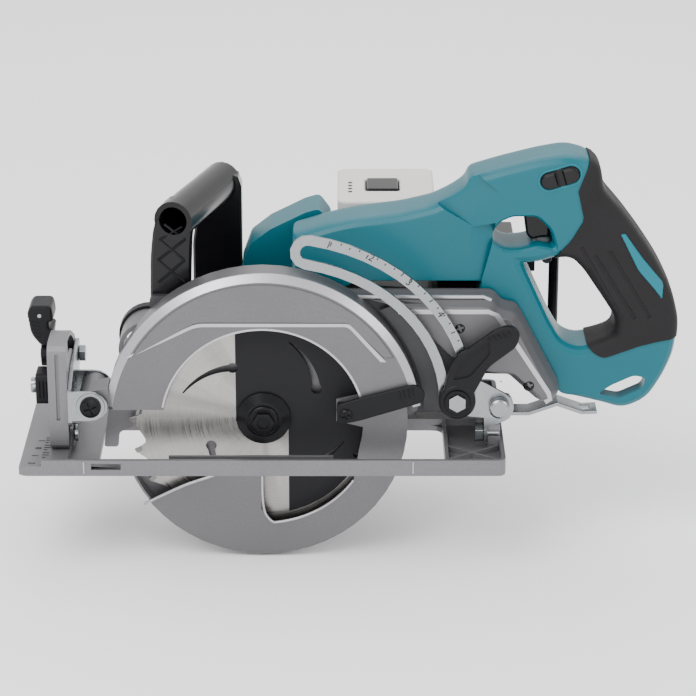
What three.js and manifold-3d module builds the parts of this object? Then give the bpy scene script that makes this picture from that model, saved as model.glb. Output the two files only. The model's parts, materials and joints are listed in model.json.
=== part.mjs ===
// A battery circular saw with a rear D handle: hinged sole, swinging lower guard and curved depth guide.
// Millimetres, +Z up, +X towards the rear handle, +Y towards the motor side.
// The origin is on the sole's underside, across from the arbor, midway along the broad side of the sole.

import * as THREE from 'three';
import { mergeVertices } from 'three/addons/utils/BufferGeometryUtils.js';
import Module from 'manifold-3d';

const wasm = await Module();
wasm.setup();

// ---------------------------------------------------------------- driving dimensions

const gap = 0.3;                 // between fixed pieces that touch
const arborHeight = 27;          // arbor above the sole's underside at full depth
const roundSides = 28;           // facets of a large turned piece
const drumSides = 56;            // facets of the blade case and the guard
const smallSides = 14;           // facets of a small turned piece

const blade = { radius: 92.5, thickness: 1.8, teeth: 24, gullet: 8.5, bore: 10 };
const guard = { clearance: 6.4, wall: 1.5, near: -9.8, far: 4.8, hubInner: 22, hubOuter: 25.5 };
const caseBox = { clearance: 5, rimWall: 4.1, wall: 2, near: -14.5, far: 8.4, chamfer: 5, window: 68.75 };
const sole = { overhang: 57, width: 150, nearReach: 40, floor: 4, rim: 11.5, rimWall: 3 };
const soleWindow = { front: 4, rear: 16, near: -28, far: 40 };
const bevelAxis = { y: 0, z: 16, pin: 4 };
const quadrant = { rear: -133, thickness: 13, near: -14, slotRadius: 62, slotWidth: 9, top: 84 };
const bevelClamp = { restAngle: 50, travel: 45, bolt: 3.6 };
const depthPivot = { ahead: 9.2, z: 41.3, knuckle: 9.5, screw: 4, head: 7 };
const depthClamp = { behind: 24.2, z: 44.6, bolt: 4.2, hub: 12.5 };
const guidePin = { behind: 53, z: 39, radius: 4, head: 7 };
const guide = { near: -9.5, far: -7, width: 24, slotWidth: 10.4, lift: 36, ratio: 0.62 };
const ears = { sheet: 2, far: 24 };  // the front bracket's plated ears either side of the knuckle
const tiltStop = { y: 22, z: 42, bolt: 2.5, hole: 2.8 };
const nominalCase = 108;         // radius of the case that the handle's points are measured behind
const flange = { radius: 18.7, thickness: 5 };
const spindleShaft = { radius: 7.5, bore: 4.4, near: -5.8, far: 37 };
const gearCase = { near: 8.7, far: 34, belowRim: 23 };
const bearingPlate = { thickness: 3.6 };
const gear = { radius: 22, width: 10, near: 20, teeth: 36, depth: 1.6 };
const motor = { x: 8, z: 53.8, can: 33, wall: 3, near: 38.6, far: 118, shaft: 4, pinion: 5.6 };
const stator = { wall: 12.5, clearance: 2, near: 58, length: 34 };
const rotor = { airGap: 1.5, fanClearance: 8, fanNear: 100, fanWidth: 8 };
const duct = { x: -79, z: 74, outer: 20, inner: 17, far: 34 };
const handle = { near: 22, half: 20, wall: 3, split: 0.15, grip: 3.2 };
const cover = { near: 0, far: 19.7 };
const frontBar = { outer: 13.5, bore: 9.8, near: 14.3, far: 112, legDepth: 17 };
const battery = { x: 85, y: 127, length: 120, thickness: 69, width: 78, bottom: 34 };
const batteryMount = { front: 121.6, rear: 176, top: 122, bottom: 34, far: 140 };
const hookRod = { radius: 3.8, y: 110, reach: 205, top: 114, bottom: 54, pivotX: 184 };
const leverBar = { near: -18.6, far: -15.2 };
const lockPin = { x: 55, z: 34, radius: 4 };

// ---------------------------------------------------------------- derived dimensions

const guardRadius = blade.radius + guard.clearance;
const caseInner = guardRadius + caseBox.clearance;
const caseOuter = caseInner + caseBox.rimWall;
const aft = (distance) => caseOuter + distance;                     // X behind the blade case
const fore = (distance) => -caseOuter - distance;                   // X ahead of the blade case
const above = (distance) => arborHeight + caseOuter + distance;     // Z over the blade case
const gearTop = above(-gearCase.belowRim);
const soleEnd = aft(sole.overhang);
const soleNear = -sole.nearReach;
const soleFar = sole.width - sole.nearReach;
const quadrantRear = quadrant.rear + nominalCase - caseOuter;
const quadrantFront = quadrantRear - quadrant.thickness;
const pivotX = fore(depthPivot.ahead);
const clampX = aft(depthClamp.behind);
const pinX = aft(guidePin.behind);
const handleMiddle = handle.near + handle.half;
const handleFar = handleMiddle + handle.half;
const statorOuter = motor.can - motor.wall - stator.clearance;
const statorInner = statorOuter - stator.wall;
const fanRadius = motor.can - rotor.fanClearance;
const radians = THREE.MathUtils.degToRad;

// ---------------------------------------------------------------- solids

function toSolid(geometry) {
  const bare = geometry.index ? geometry.clone() : geometry;
  bare.deleteAttribute('normal');
  bare.deleteAttribute('uv');
  const merged = mergeVertices(bare, 1e-4);
  const index = merged.index.array;
  const kept = [];
  for (let i = 0; i < index.length; i += 3) {
    const [a, b, c] = [index[i], index[i + 1], index[i + 2]];
    if (a !== b && b !== c && c !== a) kept.push(a, b, c);
  }
  const vertProperties = Float32Array.from(merged.attributes.position.array);
  return new wasm.Manifold(new wasm.Mesh({ numProp: 3, vertProperties,
      triVerts: Uint32Array.from(kept) }));
}

function toGeometry(solid) {
  const mesh = solid.getMesh();
  const geometry = new THREE.BufferGeometry();
  geometry.setAttribute('position', new THREE.BufferAttribute(mesh.vertProperties, 3));
  geometry.setIndex(new THREE.BufferAttribute(mesh.triVerts, 1));
  return geometry;
}

const join = (...solids) => solids.reduce((sum, solid) => sum.add(solid));
const cut = (body, ...tools) => tools.reduce((rest, tool) => rest.subtract(tool), body);

// An outline of [x, z] points, with its corners rounded where a radius is given.
function outline(points, radius = 0) {
  const shape = new THREE.Shape();
  const corners = points.map(([x, z, own]) => ({ at: new THREE.Vector2(x, z), radius: own ?? radius }));
  corners.forEach((corner, i) => {
    const before = corners[(i + corners.length - 1) % corners.length].at;
    const after = corners[(i + 1) % corners.length].at;
    const inward = before.clone().sub(corner.at);
    const outward = after.clone().sub(corner.at);
    const reach = Math.min(corner.radius, inward.length() / 2.1, outward.length() / 2.1);
    const start = corner.at.clone().add(inward.setLength(reach));
    const end = corner.at.clone().add(outward.setLength(reach));
    if (i === 0) shape.moveTo(start.x, start.y);
    else shape.lineTo(start.x, start.y);
    if (reach > 0) shape.quadraticCurveTo(corner.at.x, corner.at.y, end.x, end.y);
  });
  shape.closePath();
  return shape;
}

// A side-view shape (X right, Z up) made into a slab between two Y values.
function slab(shape, near, far, { chamfer = 0, curve = 2 } = {}) {
  const geometry = new THREE.ExtrudeGeometry(shape, {
    depth: far - near - 2 * chamfer,
    bevelEnabled: chamfer > 0,
    bevelThickness: chamfer,
    bevelSize: chamfer,
    bevelOffset: -chamfer,
    bevelSegments: 1,
    curveSegments: curve,
  });
  geometry.rotateX(Math.PI / 2);
  geometry.translate(0, far - chamfer, 0);
  return toSolid(geometry);
}

// A shape drawn as [x, y] on the sole's plane, made into a plate between two Z values.
function plate(shape, bottom, top, curve = 3) {
  const depth = top - bottom;
  const geometry = new THREE.ExtrudeGeometry(shape, { depth, bevelEnabled: false, curveSegments: curve });
  geometry.translate(0, 0, bottom);
  return toSolid(geometry);
}

// A shape drawn as [y, z] in the cross plane, made into a plate between two X values.
function crossPlate(shape, front, rear, curve = 3) {
  const depth = rear - front;
  const geometry = new THREE.ExtrudeGeometry(shape, { depth, bevelEnabled: false, curveSegments: curve });
  geometry.rotateZ(Math.PI / 2);
  geometry.rotateY(Math.PI / 2);
  geometry.translate(front, 0, 0);
  return toSolid(geometry);
}

function box(x0, x1, y0, y1, z0, z1) {
  const geometry = new THREE.BoxGeometry(x1 - x0, y1 - y0, z1 - z0);
  geometry.translate((x0 + x1) / 2, (y0 + y1) / 2, (z0 + z1) / 2);
  return toSolid(geometry);
}

// A bar along Y.
function crossBar(x, z, radius, near, far, sides = smallSides) {
  const geometry = new THREE.CylinderGeometry(radius, radius, far - near, sides);
  geometry.translate(x, (near + far) / 2, z);
  return toSolid(geometry);
}

// A bar along X.
function longBar(y, z, radius, front, rear, sides = smallSides) {
  const geometry = new THREE.CylinderGeometry(radius, radius, rear - front, sides);
  geometry.rotateZ(Math.PI / 2);
  geometry.translate((front + rear) / 2, y, z);
  return toSolid(geometry);
}

// A turned piece about a Y axis through (x, z), from a profile of [radius, y] points.
function turned(x, z, profile, sides = roundSides) {
  const closed = profile[0][0] > 0 ? [...profile, profile[0]] : profile;
  const geometry = new THREE.LatheGeometry(closed.map(([r, y]) => new THREE.Vector2(r, y)), sides);
  geometry.translate(x, 0, z);
  let solid = toSolid(geometry);
  if (solid.volume() < 0) {
    geometry.index.array.reverse();
    solid = toSolid(geometry);
  }
  return solid;
}

const ring = (x, z, inner, outer, near, far, sides = roundSides) =>
  turned(x, z, [[inner, near], [outer, near], [outer, far], [inner, far]], sides);

// Points round an arc about the arbor, from one angle to another in degrees.
function arborArc(radius, from, to, steps) {
  return Array.from({ length: steps + 1 }, (_, i) => {
    const angle = radians(from + (to - from) * i / steps);
    return [radius * Math.cos(angle), arborHeight + radius * Math.sin(angle)];
  });
}

function stadium(x, z, length, height, tilt) {
  const shape = new THREE.Shape();
  const half = (length - height) / 2;
  const turn = radians(tilt);
  const end = (side) => [x + side * half * Math.cos(turn), z + side * half * Math.sin(turn)];
  shape.absarc(...end(1), height / 2, turn - Math.PI / 2, turn + Math.PI / 2, false);
  shape.absarc(...end(-1), height / 2, turn + Math.PI / 2, turn + 3 * Math.PI / 2, false);
  shape.closePath();
  return shape;
}

// ---------------------------------------------------------------- materials

const finish = (color, roughness, metalness) => new THREE.MeshStandardMaterial({ color, roughness,
    metalness });
const finishes = {
  cast: finish(0x9a9a9f, 0.45, 0.6),
  darkCast: finish(0x55555c, 0.5, 0.5),
  plated: finish(0xc9ced0, 0.25, 0.9),
  steel: finish(0xb6b4b0, 0.3, 0.95),
  blackOxide: finish(0x1c1c1e, 0.4, 0.6),
  teal: finish(0x0090a4, 0.4, 0),
  black: finish(0x17171a, 0.45, 0),
  rubber: finish(0x3c3a3c, 0.8, 0),
  pale: finish(0xcfcbc6, 0.6, 0),
  copper: finish(0xb87333, 0.4, 0.8),
  board: finish(0x1f5c3a, 0.6, 0),
};

const saw = new THREE.Group();
saw.position.y = -(soleWindow.far + soleFar) / 2;
const group = new THREE.Group();
group.add(saw);

function add(name, solid, material) {
  const mesh = new THREE.Mesh(toGeometry(solid), material);
  mesh.name = name;
  saw.add(mesh);
}

// ---------------------------------------------------------------- sole and tilting frame

function basePlate() {
  const plan = (inset) => outline([
    [-soleEnd + inset, soleNear + inset], [soleEnd - inset, soleNear + inset],
    [soleEnd - inset, soleFar - inset], [-soleEnd + inset, soleFar - inset],
  ], 6 - inset);
  const opening = outline([
    [fore(soleWindow.front), soleWindow.near], [aft(soleWindow.rear), soleWindow.near],
    [aft(soleWindow.rear), soleWindow.far], [fore(soleWindow.front), soleWindow.far],
  ], 8);
  const quadrantFoot = box(-soleEnd, quadrantRear, soleNear, soleFar, 1, 7);
  const rims = cut(plate(plan(0), 0, sole.rim), plate(plan(sole.rimWall), -1, sole.rim + 1),
    box(-soleEnd - 1, quadrantFront - 4, soleNear - 1, soleFar + 1, 7, sole.rim + 1));
  const floor = plate(plan(0.5), 0, sole.floor);
  const innerRim = crossPlate(outline([[soleWindow.near - 2, 1], [soleWindow.near, 1],
      [soleWindow.near, sole.rim - 1],
    [soleWindow.near - 2, sole.rim - 1]]), -64, 48);
  const farRib = box(fore(-10), aft(40), soleWindow.far, soleWindow.far + 2.5, 1, 9);
  const rearRib = box(aft(soleWindow.rear), aft(soleWindow.rear) + 2.5, soleNear + 1,
      soleWindow.far + 1, 1, 10);
  const ribs = [-1, 1].map((side) => {
    const brace = box(-22, 22, -1, 1, 1, 8).rotate([0, 0, side * 35]);
    return brace.translate([aft(35), -17, 0]);
  });
  const farRibs = [-0.55, -0.15, 0.25, 0.65].map((share) =>
    box(share * soleEnd - 1, share * soleEnd + 1, soleWindow.far + 1, soleFar - 1, 1, 8));
  const postShape = outline([[-4, 1], [14, 1], [11, bevelAxis.z + 10, 7], [-4, bevelAxis.z + 10, 7]], 1);
  const post = crossPlate(postShape, soleEnd - 11, soleEnd - 2.5, 4);
  const body = join(rims, floor, quadrantFoot, innerRim, farRib, rearRib, ...ribs, ...farRibs, post);
  const fenceSlot = box(fore(8), fore(-12), soleNear - 1, soleNear + sole.rimWall + 0.5, 4.5, 9);
  const fenceSlotFar = box(fore(8), fore(-12), soleFar - sole.rimWall - 0.5, soleFar + 1, 4.5, 9);
  const pinHole = longBar(bevelAxis.y, bevelAxis.z, bevelAxis.pin + gap, soleEnd - 20, soleEnd - 1);
  add('base_plate', cut(body, plate(opening, -1, 30), fenceSlot, fenceSlotFar, pinHole), finishes.cast);
}

function bevelQuadrant() {
  const { near, top, slotRadius, slotWidth, thickness } = quadrant;
  const foot = 7 + gap;
  const edge = [[near, foot], [near + 96, foot], [near + 90, 34], [near + 66, 68], [near + 34, top],
      [near, top]];
  const body = crossPlate(outline(edge, 9), quadrantFront, quadrantRear);
  const arc = [];
  const steps = 8;
  const from = bevelClamp.restAngle + 5;
  const to = bevelClamp.restAngle - bevelClamp.travel - 5;
  const along = (radius, angle) => [
    bevelAxis.y + radius * Math.sin(radians(angle)), bevelAxis.z + radius * Math.cos(radians(angle))];
  for (let i = 0; i <= steps; i += 1) arc.push(along(slotRadius + slotWidth / 2,
      from + (to - from) * i / steps));
  for (let i = steps; i >= 0; i -= 1) arc.push(along(slotRadius - slotWidth / 2,
      from + (to - from) * i / steps));
  const slot = crossPlate(outline(arc), quadrantFront - 1, quadrantRear + 1);
  const hollow = crossPlate(outline([[near + 12, foot + 8], [near + 74, foot + 8], [near + 66, 30],
    [near + 40, 48], [near + 12, 50]], 6), quadrantFront - 1, quadrantRear - 4);
  const groove = box(quadrantFront + thickness / 2 - 1.2, quadrantFront + thickness / 2 + 1.2,
    near - 1, near + 2, 30, top - 6);
  const pinHole = longBar(bevelAxis.y, bevelAxis.z, bevelAxis.pin + gap, quadrantFront - 1,
      quadrantRear + 1);
  const stopHole = longBar(tiltStop.y, tiltStop.z, tiltStop.hole, quadrantRear - 5, quadrantRear + 1);
  add('bevel_quadrant', cut(body, slot, hollow, groove, pinHole, stopHole), finishes.cast);
}

function boltPlace(angle = bevelClamp.restAngle) {
  return {
    y: bevelAxis.y + quadrant.slotRadius * Math.sin(radians(angle)),
    z: bevelAxis.z + quadrant.slotRadius * Math.cos(radians(angle)),
  };
}

function frontBracket() {
  const front = quadrantRear + gap;
  const rear = front + 2.5;
  const bolt = boltPlace();
  const nearEar = caseBox.near - gap - ears.sheet;
  const back = crossPlate(outline([[nearEar, 27], [ears.far + ears.sheet, 8.5],
      [ears.far + ears.sheet, 36],
    [bolt.y + 9, bolt.z - 6], [bolt.y + 8, bolt.z + 9], [bolt.y - 8, bolt.z + 9], [10, 62], [nearEar,
        52]], 3),
  front, rear);
  const backFoot = crossPlate(outline([[-9, 8.5], [ears.far, 8.5], [ears.far, 40], [-9, 40]], 2),
      front, rear);
  const ear = outline([[front, depthPivot.z - 10.6], [pivotX + 4, depthPivot.z - 10.6, 9],
    [pivotX + 11.5, depthPivot.z - 4, 7], [pivotX + 11.5, depthPivot.z + 4, 7],
    [pivotX + 4, depthPivot.z + 10.6, 9], [front, depthPivot.z + 10.6]]);
  const pair = [slab(ear, nearEar, nearEar + ears.sheet), slab(ear, ears.far, ears.far + ears.sheet)];
  const pivotHole = crossBar(pivotX, depthPivot.z, depthPivot.screw + gap, nearEar - 1, ears.far + 4);
  const pinHole = longBar(bevelAxis.y, bevelAxis.z, bevelAxis.pin + gap, front - 1, rear + 1);
  const boltHole = longBar(bolt.y, bolt.z, bevelClamp.bolt + gap, front - 1, rear + 1);
  add('front_bracket', cut(join(back, backFoot, ...pair), pivotHole, pinHole, boltHole), finishes.plated);
}

function bevelClampPieces() {
  const bolt = boltPlace();
  const front = quadrantFront - 11;
  add('bevel_bolt', join(
    longBar(bolt.y, bolt.z, bevelClamp.bolt, front, quadrantRear + 5),
    longBar(bolt.y, bolt.z, 6, quadrantRear + gap + 2.5 + gap, quadrantRear + 7.5, 6),
  ), finishes.plated);
  const paddle = crossPlate(outline([[bolt.y - 10, bolt.z + 11], [bolt.y + 10, bolt.z + 11],
    [bolt.y + 12, bolt.z + 38], [bolt.y - 12, bolt.z + 38]], 4), front - 6, front + 8);
  const hub = longBar(bolt.y, bolt.z, 9, quadrantFront - 9, quadrantFront - gap);
  const stem = box(quadrantFront - 5, quadrantFront - 1.5, bolt.y - 5, bolt.y + 5, bolt.z, bolt.z + 30);
  const scoop = crossPlate(outline([[bolt.y - 14, bolt.z + 24], [bolt.y + 14, bolt.z + 24],
    [bolt.y + 14, bolt.z + 27], [bolt.y - 14, bolt.z + 27]]), front + 4, front + 9);
  const bore = longBar(bolt.y, bolt.z, bevelClamp.bolt + gap, front - 8, quadrantRear);
  add('bevel_lever', cut(join(paddle, hub, stem), scoop, bore), finishes.black);
}

function bevelStop() {
  const { y, z, bolt, hole } = tiltStop;
  const knobFront = quadrantFront - 11.5;
  const body = crossPlate(outline([[y - 10, z - 11], [y + 10, z - 11], [y + 10, z + 11], [y - 10,
      z + 11]], 3),
    knobFront, quadrantFront - gap);
  add('bevel_stop', cut(body, longBar(y, z, hole, knobFront - 1, quadrantFront + 1)), finishes.black);
  add('bevel_stop_bolt', join(longBar(y, z, bolt, knobFront - 4, quadrantRear - 1),
    longBar(y, z, 5.5, knobFront - 4, knobFront - gap)), finishes.plated);
}

function rearBracket() {
  const earNear = guide.far + gap + 0.2;
  const tabRear = soleEnd - 11 - gap;
  const tab = crossPlate(outline([[earNear, 21], [-7, 9], [13, 9], [13, 34], [earNear, 40]], 2),
    tabRear - 2.5, tabRear);
  const ear = slab(outline([[tabRear - 2.5, 21], [pinX + 8, 28], [pinX + 11, 36], [pinX + 8, 47],
    [tabRear - 2.5, 47]], 4), earNear, earNear + ears.sheet);
  const pinHole = crossBar(pinX, guidePin.z, guidePin.radius + gap, earNear - 1, earNear + 4);
  const tiltHole = longBar(bevelAxis.y, bevelAxis.z, bevelAxis.pin + gap, tabRear - 4, tabRear + 1);
  add('rear_bracket', cut(join(tab, ear), pinHole, tiltHole), finishes.plated);
}

function tiltPins() {
  const { y, z, pin } = bevelAxis;
  add('bevel_pin_front', join(longBar(y, z, pin, quadrantFront + 2, quadrantRear + 4.5),
    longBar(y, z, pin + 2.5, quadrantRear + gap + 2.5 + gap, quadrantRear + 5.5)), finishes.plated);
  const tabFront = soleEnd - 11 - gap - 2.5;
  add('bevel_pin_rear', join(longBar(y, z, pin, tabFront - 4, soleEnd - 3),
    longBar(y, z, pin + 3, tabFront - 6, tabFront - gap, 6)), finishes.plated);
}

// ---------------------------------------------------------------- cutting depth guide

// Where the clamp bolt runs in the guide's own frame as the body lifts about the depth pivot.
function boltPath(steps) {
  const pivot = new THREE.Vector2(pivotX, depthPivot.z);
  const pin = new THREE.Vector2(pinX, guidePin.z);
  return Array.from({ length: steps + 1 }, (_, i) => {
    const lift = radians(guide.lift * i / steps);
    const bolt = new THREE.Vector2(clampX, depthClamp.z).rotateAround(pivot, lift);
    return bolt.rotateAround(pin, guide.ratio * lift);
  });
}

// A band of even width along a path, with round ends.
function band(path, width, endSteps = 6) {
  const side = (direction) => path.map((point, i) => {
    const ahead = path[Math.min(i + 1, path.length - 1)];
    const back = path[Math.max(i - 1, 0)];
    const along = ahead.clone().sub(back).normalize();
    return [point.x - direction * along.y * width / 2, point.y + direction * along.x * width / 2];
  });
  const cap = (point, other) => {
    const start = point.clone().sub(other).angle() - Math.PI / 2;
    return Array.from({ length: endSteps - 1 }, (_, i) => {
      const angle = start + Math.PI * (i + 1) / endSteps;
      return [point.x + width / 2 * Math.cos(angle), point.y + width / 2 * Math.sin(angle)];
    });
  };
  const last = path.length - 1;
  return outline([...side(-1), ...cap(path[last], path[last - 1]), ...side(1).reverse(),
      ...cap(path[0], path[1])]);
}

function depthGuide() {
  const path = boltPath(14);
  const { near, far } = guide;
  const arc = slab(band(path, guide.width), near, far);
  const foot = slab(outline([[clampX + 5, depthClamp.z - 13], [pinX + 1, guidePin.z - 10, 8],
    [pinX + 10, guidePin.z - 5, 7], [pinX + 9, guidePin.z + 6, 6], [pinX - 12, guidePin.z + 18, 3],
    [clampX + 6, depthClamp.z + 16]], 2), near, far);
  const slot = slab(band(path, guide.slotWidth), near - 1, far + 1);
  const pinHole = crossBar(pinX, guidePin.z, guidePin.radius + gap, near - 1, far + 1);
  add('depth_guide', cut(join(arc, foot), slot, pinHole), finishes.plated);
  add('guide_pin', join(crossBar(pinX, guidePin.z, guidePin.head, near - 7, near - gap),
    crossBar(pinX, guidePin.z, guidePin.radius, near - 3, guide.far + gap + ears.sheet + 2)),
        finishes.plated);
}

function depthClampPieces() {
  const washerNear = guide.near - gap - 1.5;
  const hubNear = washerNear - gap - 5;
  const { bolt, hub, z } = depthClamp;
  add('depth_bolt', join(crossBar(clampX, z, bolt, hubNear - 2, cover.near - gap),
    crossBar(clampX, z, 6.5, hubNear - 3.6, hubNear - gap, 6)), finishes.plated);
  add('depth_washer', ring(clampX, z, bolt + gap, 10, washerNear, guide.near - gap, smallSides),
      finishes.plated);
  const arm = outline([[clampX - 8, z + 8], [clampX - 1, z + 31, 4], [clampX + 29, z + 55, 3],
    [clampX + 38, z + 56, 4], [clampX + 43, z + 50, 3], [clampX + 40, z + 40, 4], [clampX + 21,
        z + 25, 3],
    [clampX + 9, z + 6, 2]], 2);
  const body = join(crossBar(clampX, z, hub, hubNear, washerNear - gap, 20),
    slab(arm, hubNear + 0.4, washerNear - gap, { chamfer: 0.8 }));
  add('depth_lever', cut(body, crossBar(clampX, z, bolt + gap, hubNear - 1, washerNear + 1)),
      finishes.black);
}

function depthPivotBolt() {
  const earNear = caseBox.near - gap - ears.sheet;
  add('depth_pivot_bolt', join(
    crossBar(pivotX, depthPivot.z, depthPivot.screw, earNear - 1.5, ears.far + ears.sheet + 3),
    crossBar(pivotX, depthPivot.z, depthPivot.head, earNear - 2.4, earNear - gap),
    crossBar(pivotX, depthPivot.z, 6.5, ears.far + ears.sheet + gap, ears.far + ears.sheet + 4, 6),
  ), finishes.blackOxide);
}

// ---------------------------------------------------------------- blade case and guard

function bladeCase() {
  const { near, far, wall, chamfer, window } = caseBox;
  const drum = turned(0, arborHeight, [[0, near], [caseOuter - chamfer, near], [caseOuter,
      near + chamfer * 0.8],
    [caseOuter, far], [0, far]], drumSides);
  const hollow = turned(0, arborHeight, [[0, near + wall], [caseInner - chamfer, near + wall],
    [caseInner, near + wall + chamfer], [caseInner, far - wall], [0, far - wall]], drumSides);
  const reach = caseOuter + 20;
  const upper = slab(outline([[-reach, arborHeight + 11], [0, arborHeight + 11], [0, arborHeight + 17],
    [reach, arborHeight + 17], [reach, above(20)], [-reach, above(20)]]), near - 1, far + 1);
  const lookIn = crossBar(0, arborHeight, window, near - 1, near + wall + 1, 56);
  const shell = cut(drum.intersect(upper), hollow, lookIn);
  const farPlate = slab(outline([[fore(-2), arborHeight + 12], [fore(3), 2], [fore(-7), 2], [fore(-8),
      13],
    [fore(-18), 17], [fore(-20), 30], [-48, 20], [-22, 6], [30, 6], [70, 14], [aft(-2), arborHeight + 2],
    [aft(-1), arborHeight + 18], [0, arborHeight + 40]], 2), far - wall, far);
  const knuckle = crossBar(pivotX, depthPivot.z, depthPivot.knuckle, near + gap, ears.far - gap, 20);
  const arm = slab(outline([[pivotX - 2, depthPivot.z - 8], [fore(-3), depthPivot.z - 3],
    [fore(-3), depthPivot.z + 12], [pivotX - 2, depthPivot.z + 9]], 2), near + 2, far);
  const chute = crossBar(duct.x, duct.z, duct.outer, far - wall, duct.far, 32);
  const tools = [
    crossBar(duct.x, duct.z, duct.inner, far - wall - 1, duct.far + 1, 32),
    crossBar(0, arborHeight, guard.hubOuter + 1.5, 0, far + 1, 32),
    crossBar(pivotX, depthPivot.z, depthPivot.screw + gap, near - 1, 30),
    turned(0, arborHeight, [[0, near + wall], [caseInner - chamfer, near + wall],
      [caseInner - chamfer, far - wall], [0, far - wall]], drumSides),
  ];
  add('blade_case', cut(join(shell, farPlate, knuckle, arm, chute), ...tools), finishes.cast);
  add('chip_port_ring', ring(duct.x, duct.z, duct.inner + 0.5, duct.outer + 1.8, duct.far + gap,
      duct.far + 9, 32),
    finishes.black);
}

function lowerGuard() {
  const { near, far, wall, hubInner, hubOuter } = guard;
  const inner = guardRadius - wall;
  const drum = crossBar(0, arborHeight, guardRadius, near, far, drumSides);
  const hollow = crossBar(0, arborHeight, inner, near + wall, far - wall, drumSides);
  const nearOut = slab(outline([...arborArc(guardRadius + 4, 376, 216, 26), [-58, -21], [-44, -16],
      [-34, -12.5],
    [-20, -10], [-1, -10], [-2, -38], ...arborArc(inner - 22, 274, 325, 7), ...arborArc(inner - 29,
        344, 357, 2),
    [50, arborHeight + 1], [50, arborHeight + 17]]), near - 1, near + wall + 0.5);
  const rest = slab(outline([[0, arborHeight], ...arborArc(guardRadius + 20, 378, 204, 20)]),
    near + wall + 0.25, far + 1);
  const hub = ring(0, arborHeight, hubInner, hubOuter, far - wall, 8.2, 32);
  const sector = cut(drum, hollow).intersect(join(nearOut, rest));
  const stopHole = crossBar(0, arborHeight, hubInner, near - 1, far + 3, 40);
  add('lower_guard', cut(join(sector, hub), stopHole), finishes.cast);
}

function guardLever() {
  const { near, far } = leverBar;
  const bar = slab(outline([[50, 43], [66, 48], [105, 58, 3], [110, 53, 4], [108, 45, 3], [66, 31],
      [51, 28.5]], 1.5),
    near, far, { chamfer: 0.6 });
  const foot = slab(outline([[50.5, 29.5], [62, 31.5], [62, 42.5], [50.5, 42.5]], 1.5), far - 1,
      guard.near - gap);
  const bore = crossBar(56.5, 36, 2.3, near - 1, guard.near + 1);
  add('guard_lever', cut(join(bar, foot), bore), finishes.black);
  add('guard_lever_screw', join(crossBar(56.5, 36, 2, near - 1, guard.near - gap),
    crossBar(56.5, 36, 4.2, near - 1.6, near - gap)), finishes.plated);
}

// ---------------------------------------------------------------- blade drive

function bladePlate() {
  const { radius, teeth, gullet, bore, thickness } = blade;
  const pitch = 360 / teeth;
  const points = [];
  for (let tooth = 0; tooth < teeth; tooth += 1) {
    const start = tooth * pitch;
    points.push(...[[radius, 0], [radius - 2, 0.16], [radius - gullet * 0.75, 0.55], [radius - gullet,
        0.7],
      [radius - gullet, 0.86], [radius - gullet * 0.45, 0.99]].map(([r, share]) => {
      const angle = radians(start + share * pitch);
      return [r * Math.cos(angle), r * Math.sin(angle)];
    }));
  }
  const disc = slab(outline(points), -thickness / 2, thickness / 2);
  const hole = crossBar(0, 0, bore, -thickness, thickness);
  add('blade', cut(disc, hole).translate([0, 0, arborHeight]), finishes.steel);
}

function arborPieces() {
  const face = blade.thickness / 2 + gap;
  const { radius, thickness } = flange;
  const { near, far, bore } = spindleShaft;
  const shaft = spindleShaft.radius;
  const outerNear = -face - thickness;
  add('outer_flange', turned(0, arborHeight, [[shaft + gap, -face], [radius, -face], [radius, -face - 2],
    [radius - 5, outerNear], [shaft + gap, outerNear]]), finishes.blackOxide);
  add('inner_flange', turned(0, arborHeight, [[shaft + gap, face], [radius, face], [radius - 1.5,
      face + 4],
    [shaft + gap, face + 4]]), finishes.blackOxide);
  add('blade_bolt', join(crossBar(0, arborHeight, 10.5, outerNear - 1.8, outerNear - gap, 20),
    crossBar(0, arborHeight, 7.4, outerNear - 6.2, outerNear - 1.5, 6),
    crossBar(0, arborHeight, bore - gap, outerNear - 1, 10)), finishes.blackOxide);
  const gearSeat = shaft + 1;
  add('spindle', cut(join(crossBar(0, arborHeight, shaft, near, far, 20),
    crossBar(0, arborHeight, gearSeat, gearCase.near + 10.3, gear.near - gap, 20)),
  crossBar(0, arborHeight, bore, near - 1, 12)), finishes.steel);
  add('drive_gear', toothedWheel(0, arborHeight, gear, shaft + gap), finishes.steel);
  const bearing = (name, y, seat) => add(name, ring(0, arborHeight, shaft + gap, seat, y, y + 9, 20),
      finishes.steel);
  bearing('spindle_bearing_outer', gearCase.near + 1, 14.5);
  add('spindle_bearing_inner', ring(0, arborHeight, shaft + gap, 13, 31, gearCase.far + 3, 20),
      finishes.steel);
}

function toothedWheel(x, z, { radius, width, near, teeth, depth }, bore) {
  const points = [];
  for (let tooth = 0; tooth < teeth; tooth += 1) {
    for (const [share, r] of [[0, radius - depth], [0.3, radius], [0.6, radius], [0.85,
        radius - depth]]) {
      const angle = radians((tooth + share) * 360 / teeth);
      points.push([x + r * Math.cos(angle), z + r * Math.sin(angle)]);
    }
  }
  return cut(slab(outline(points), near, near + width), crossBar(x, z, bore, near - 1,
      near + width + 1, 20));
}

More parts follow.
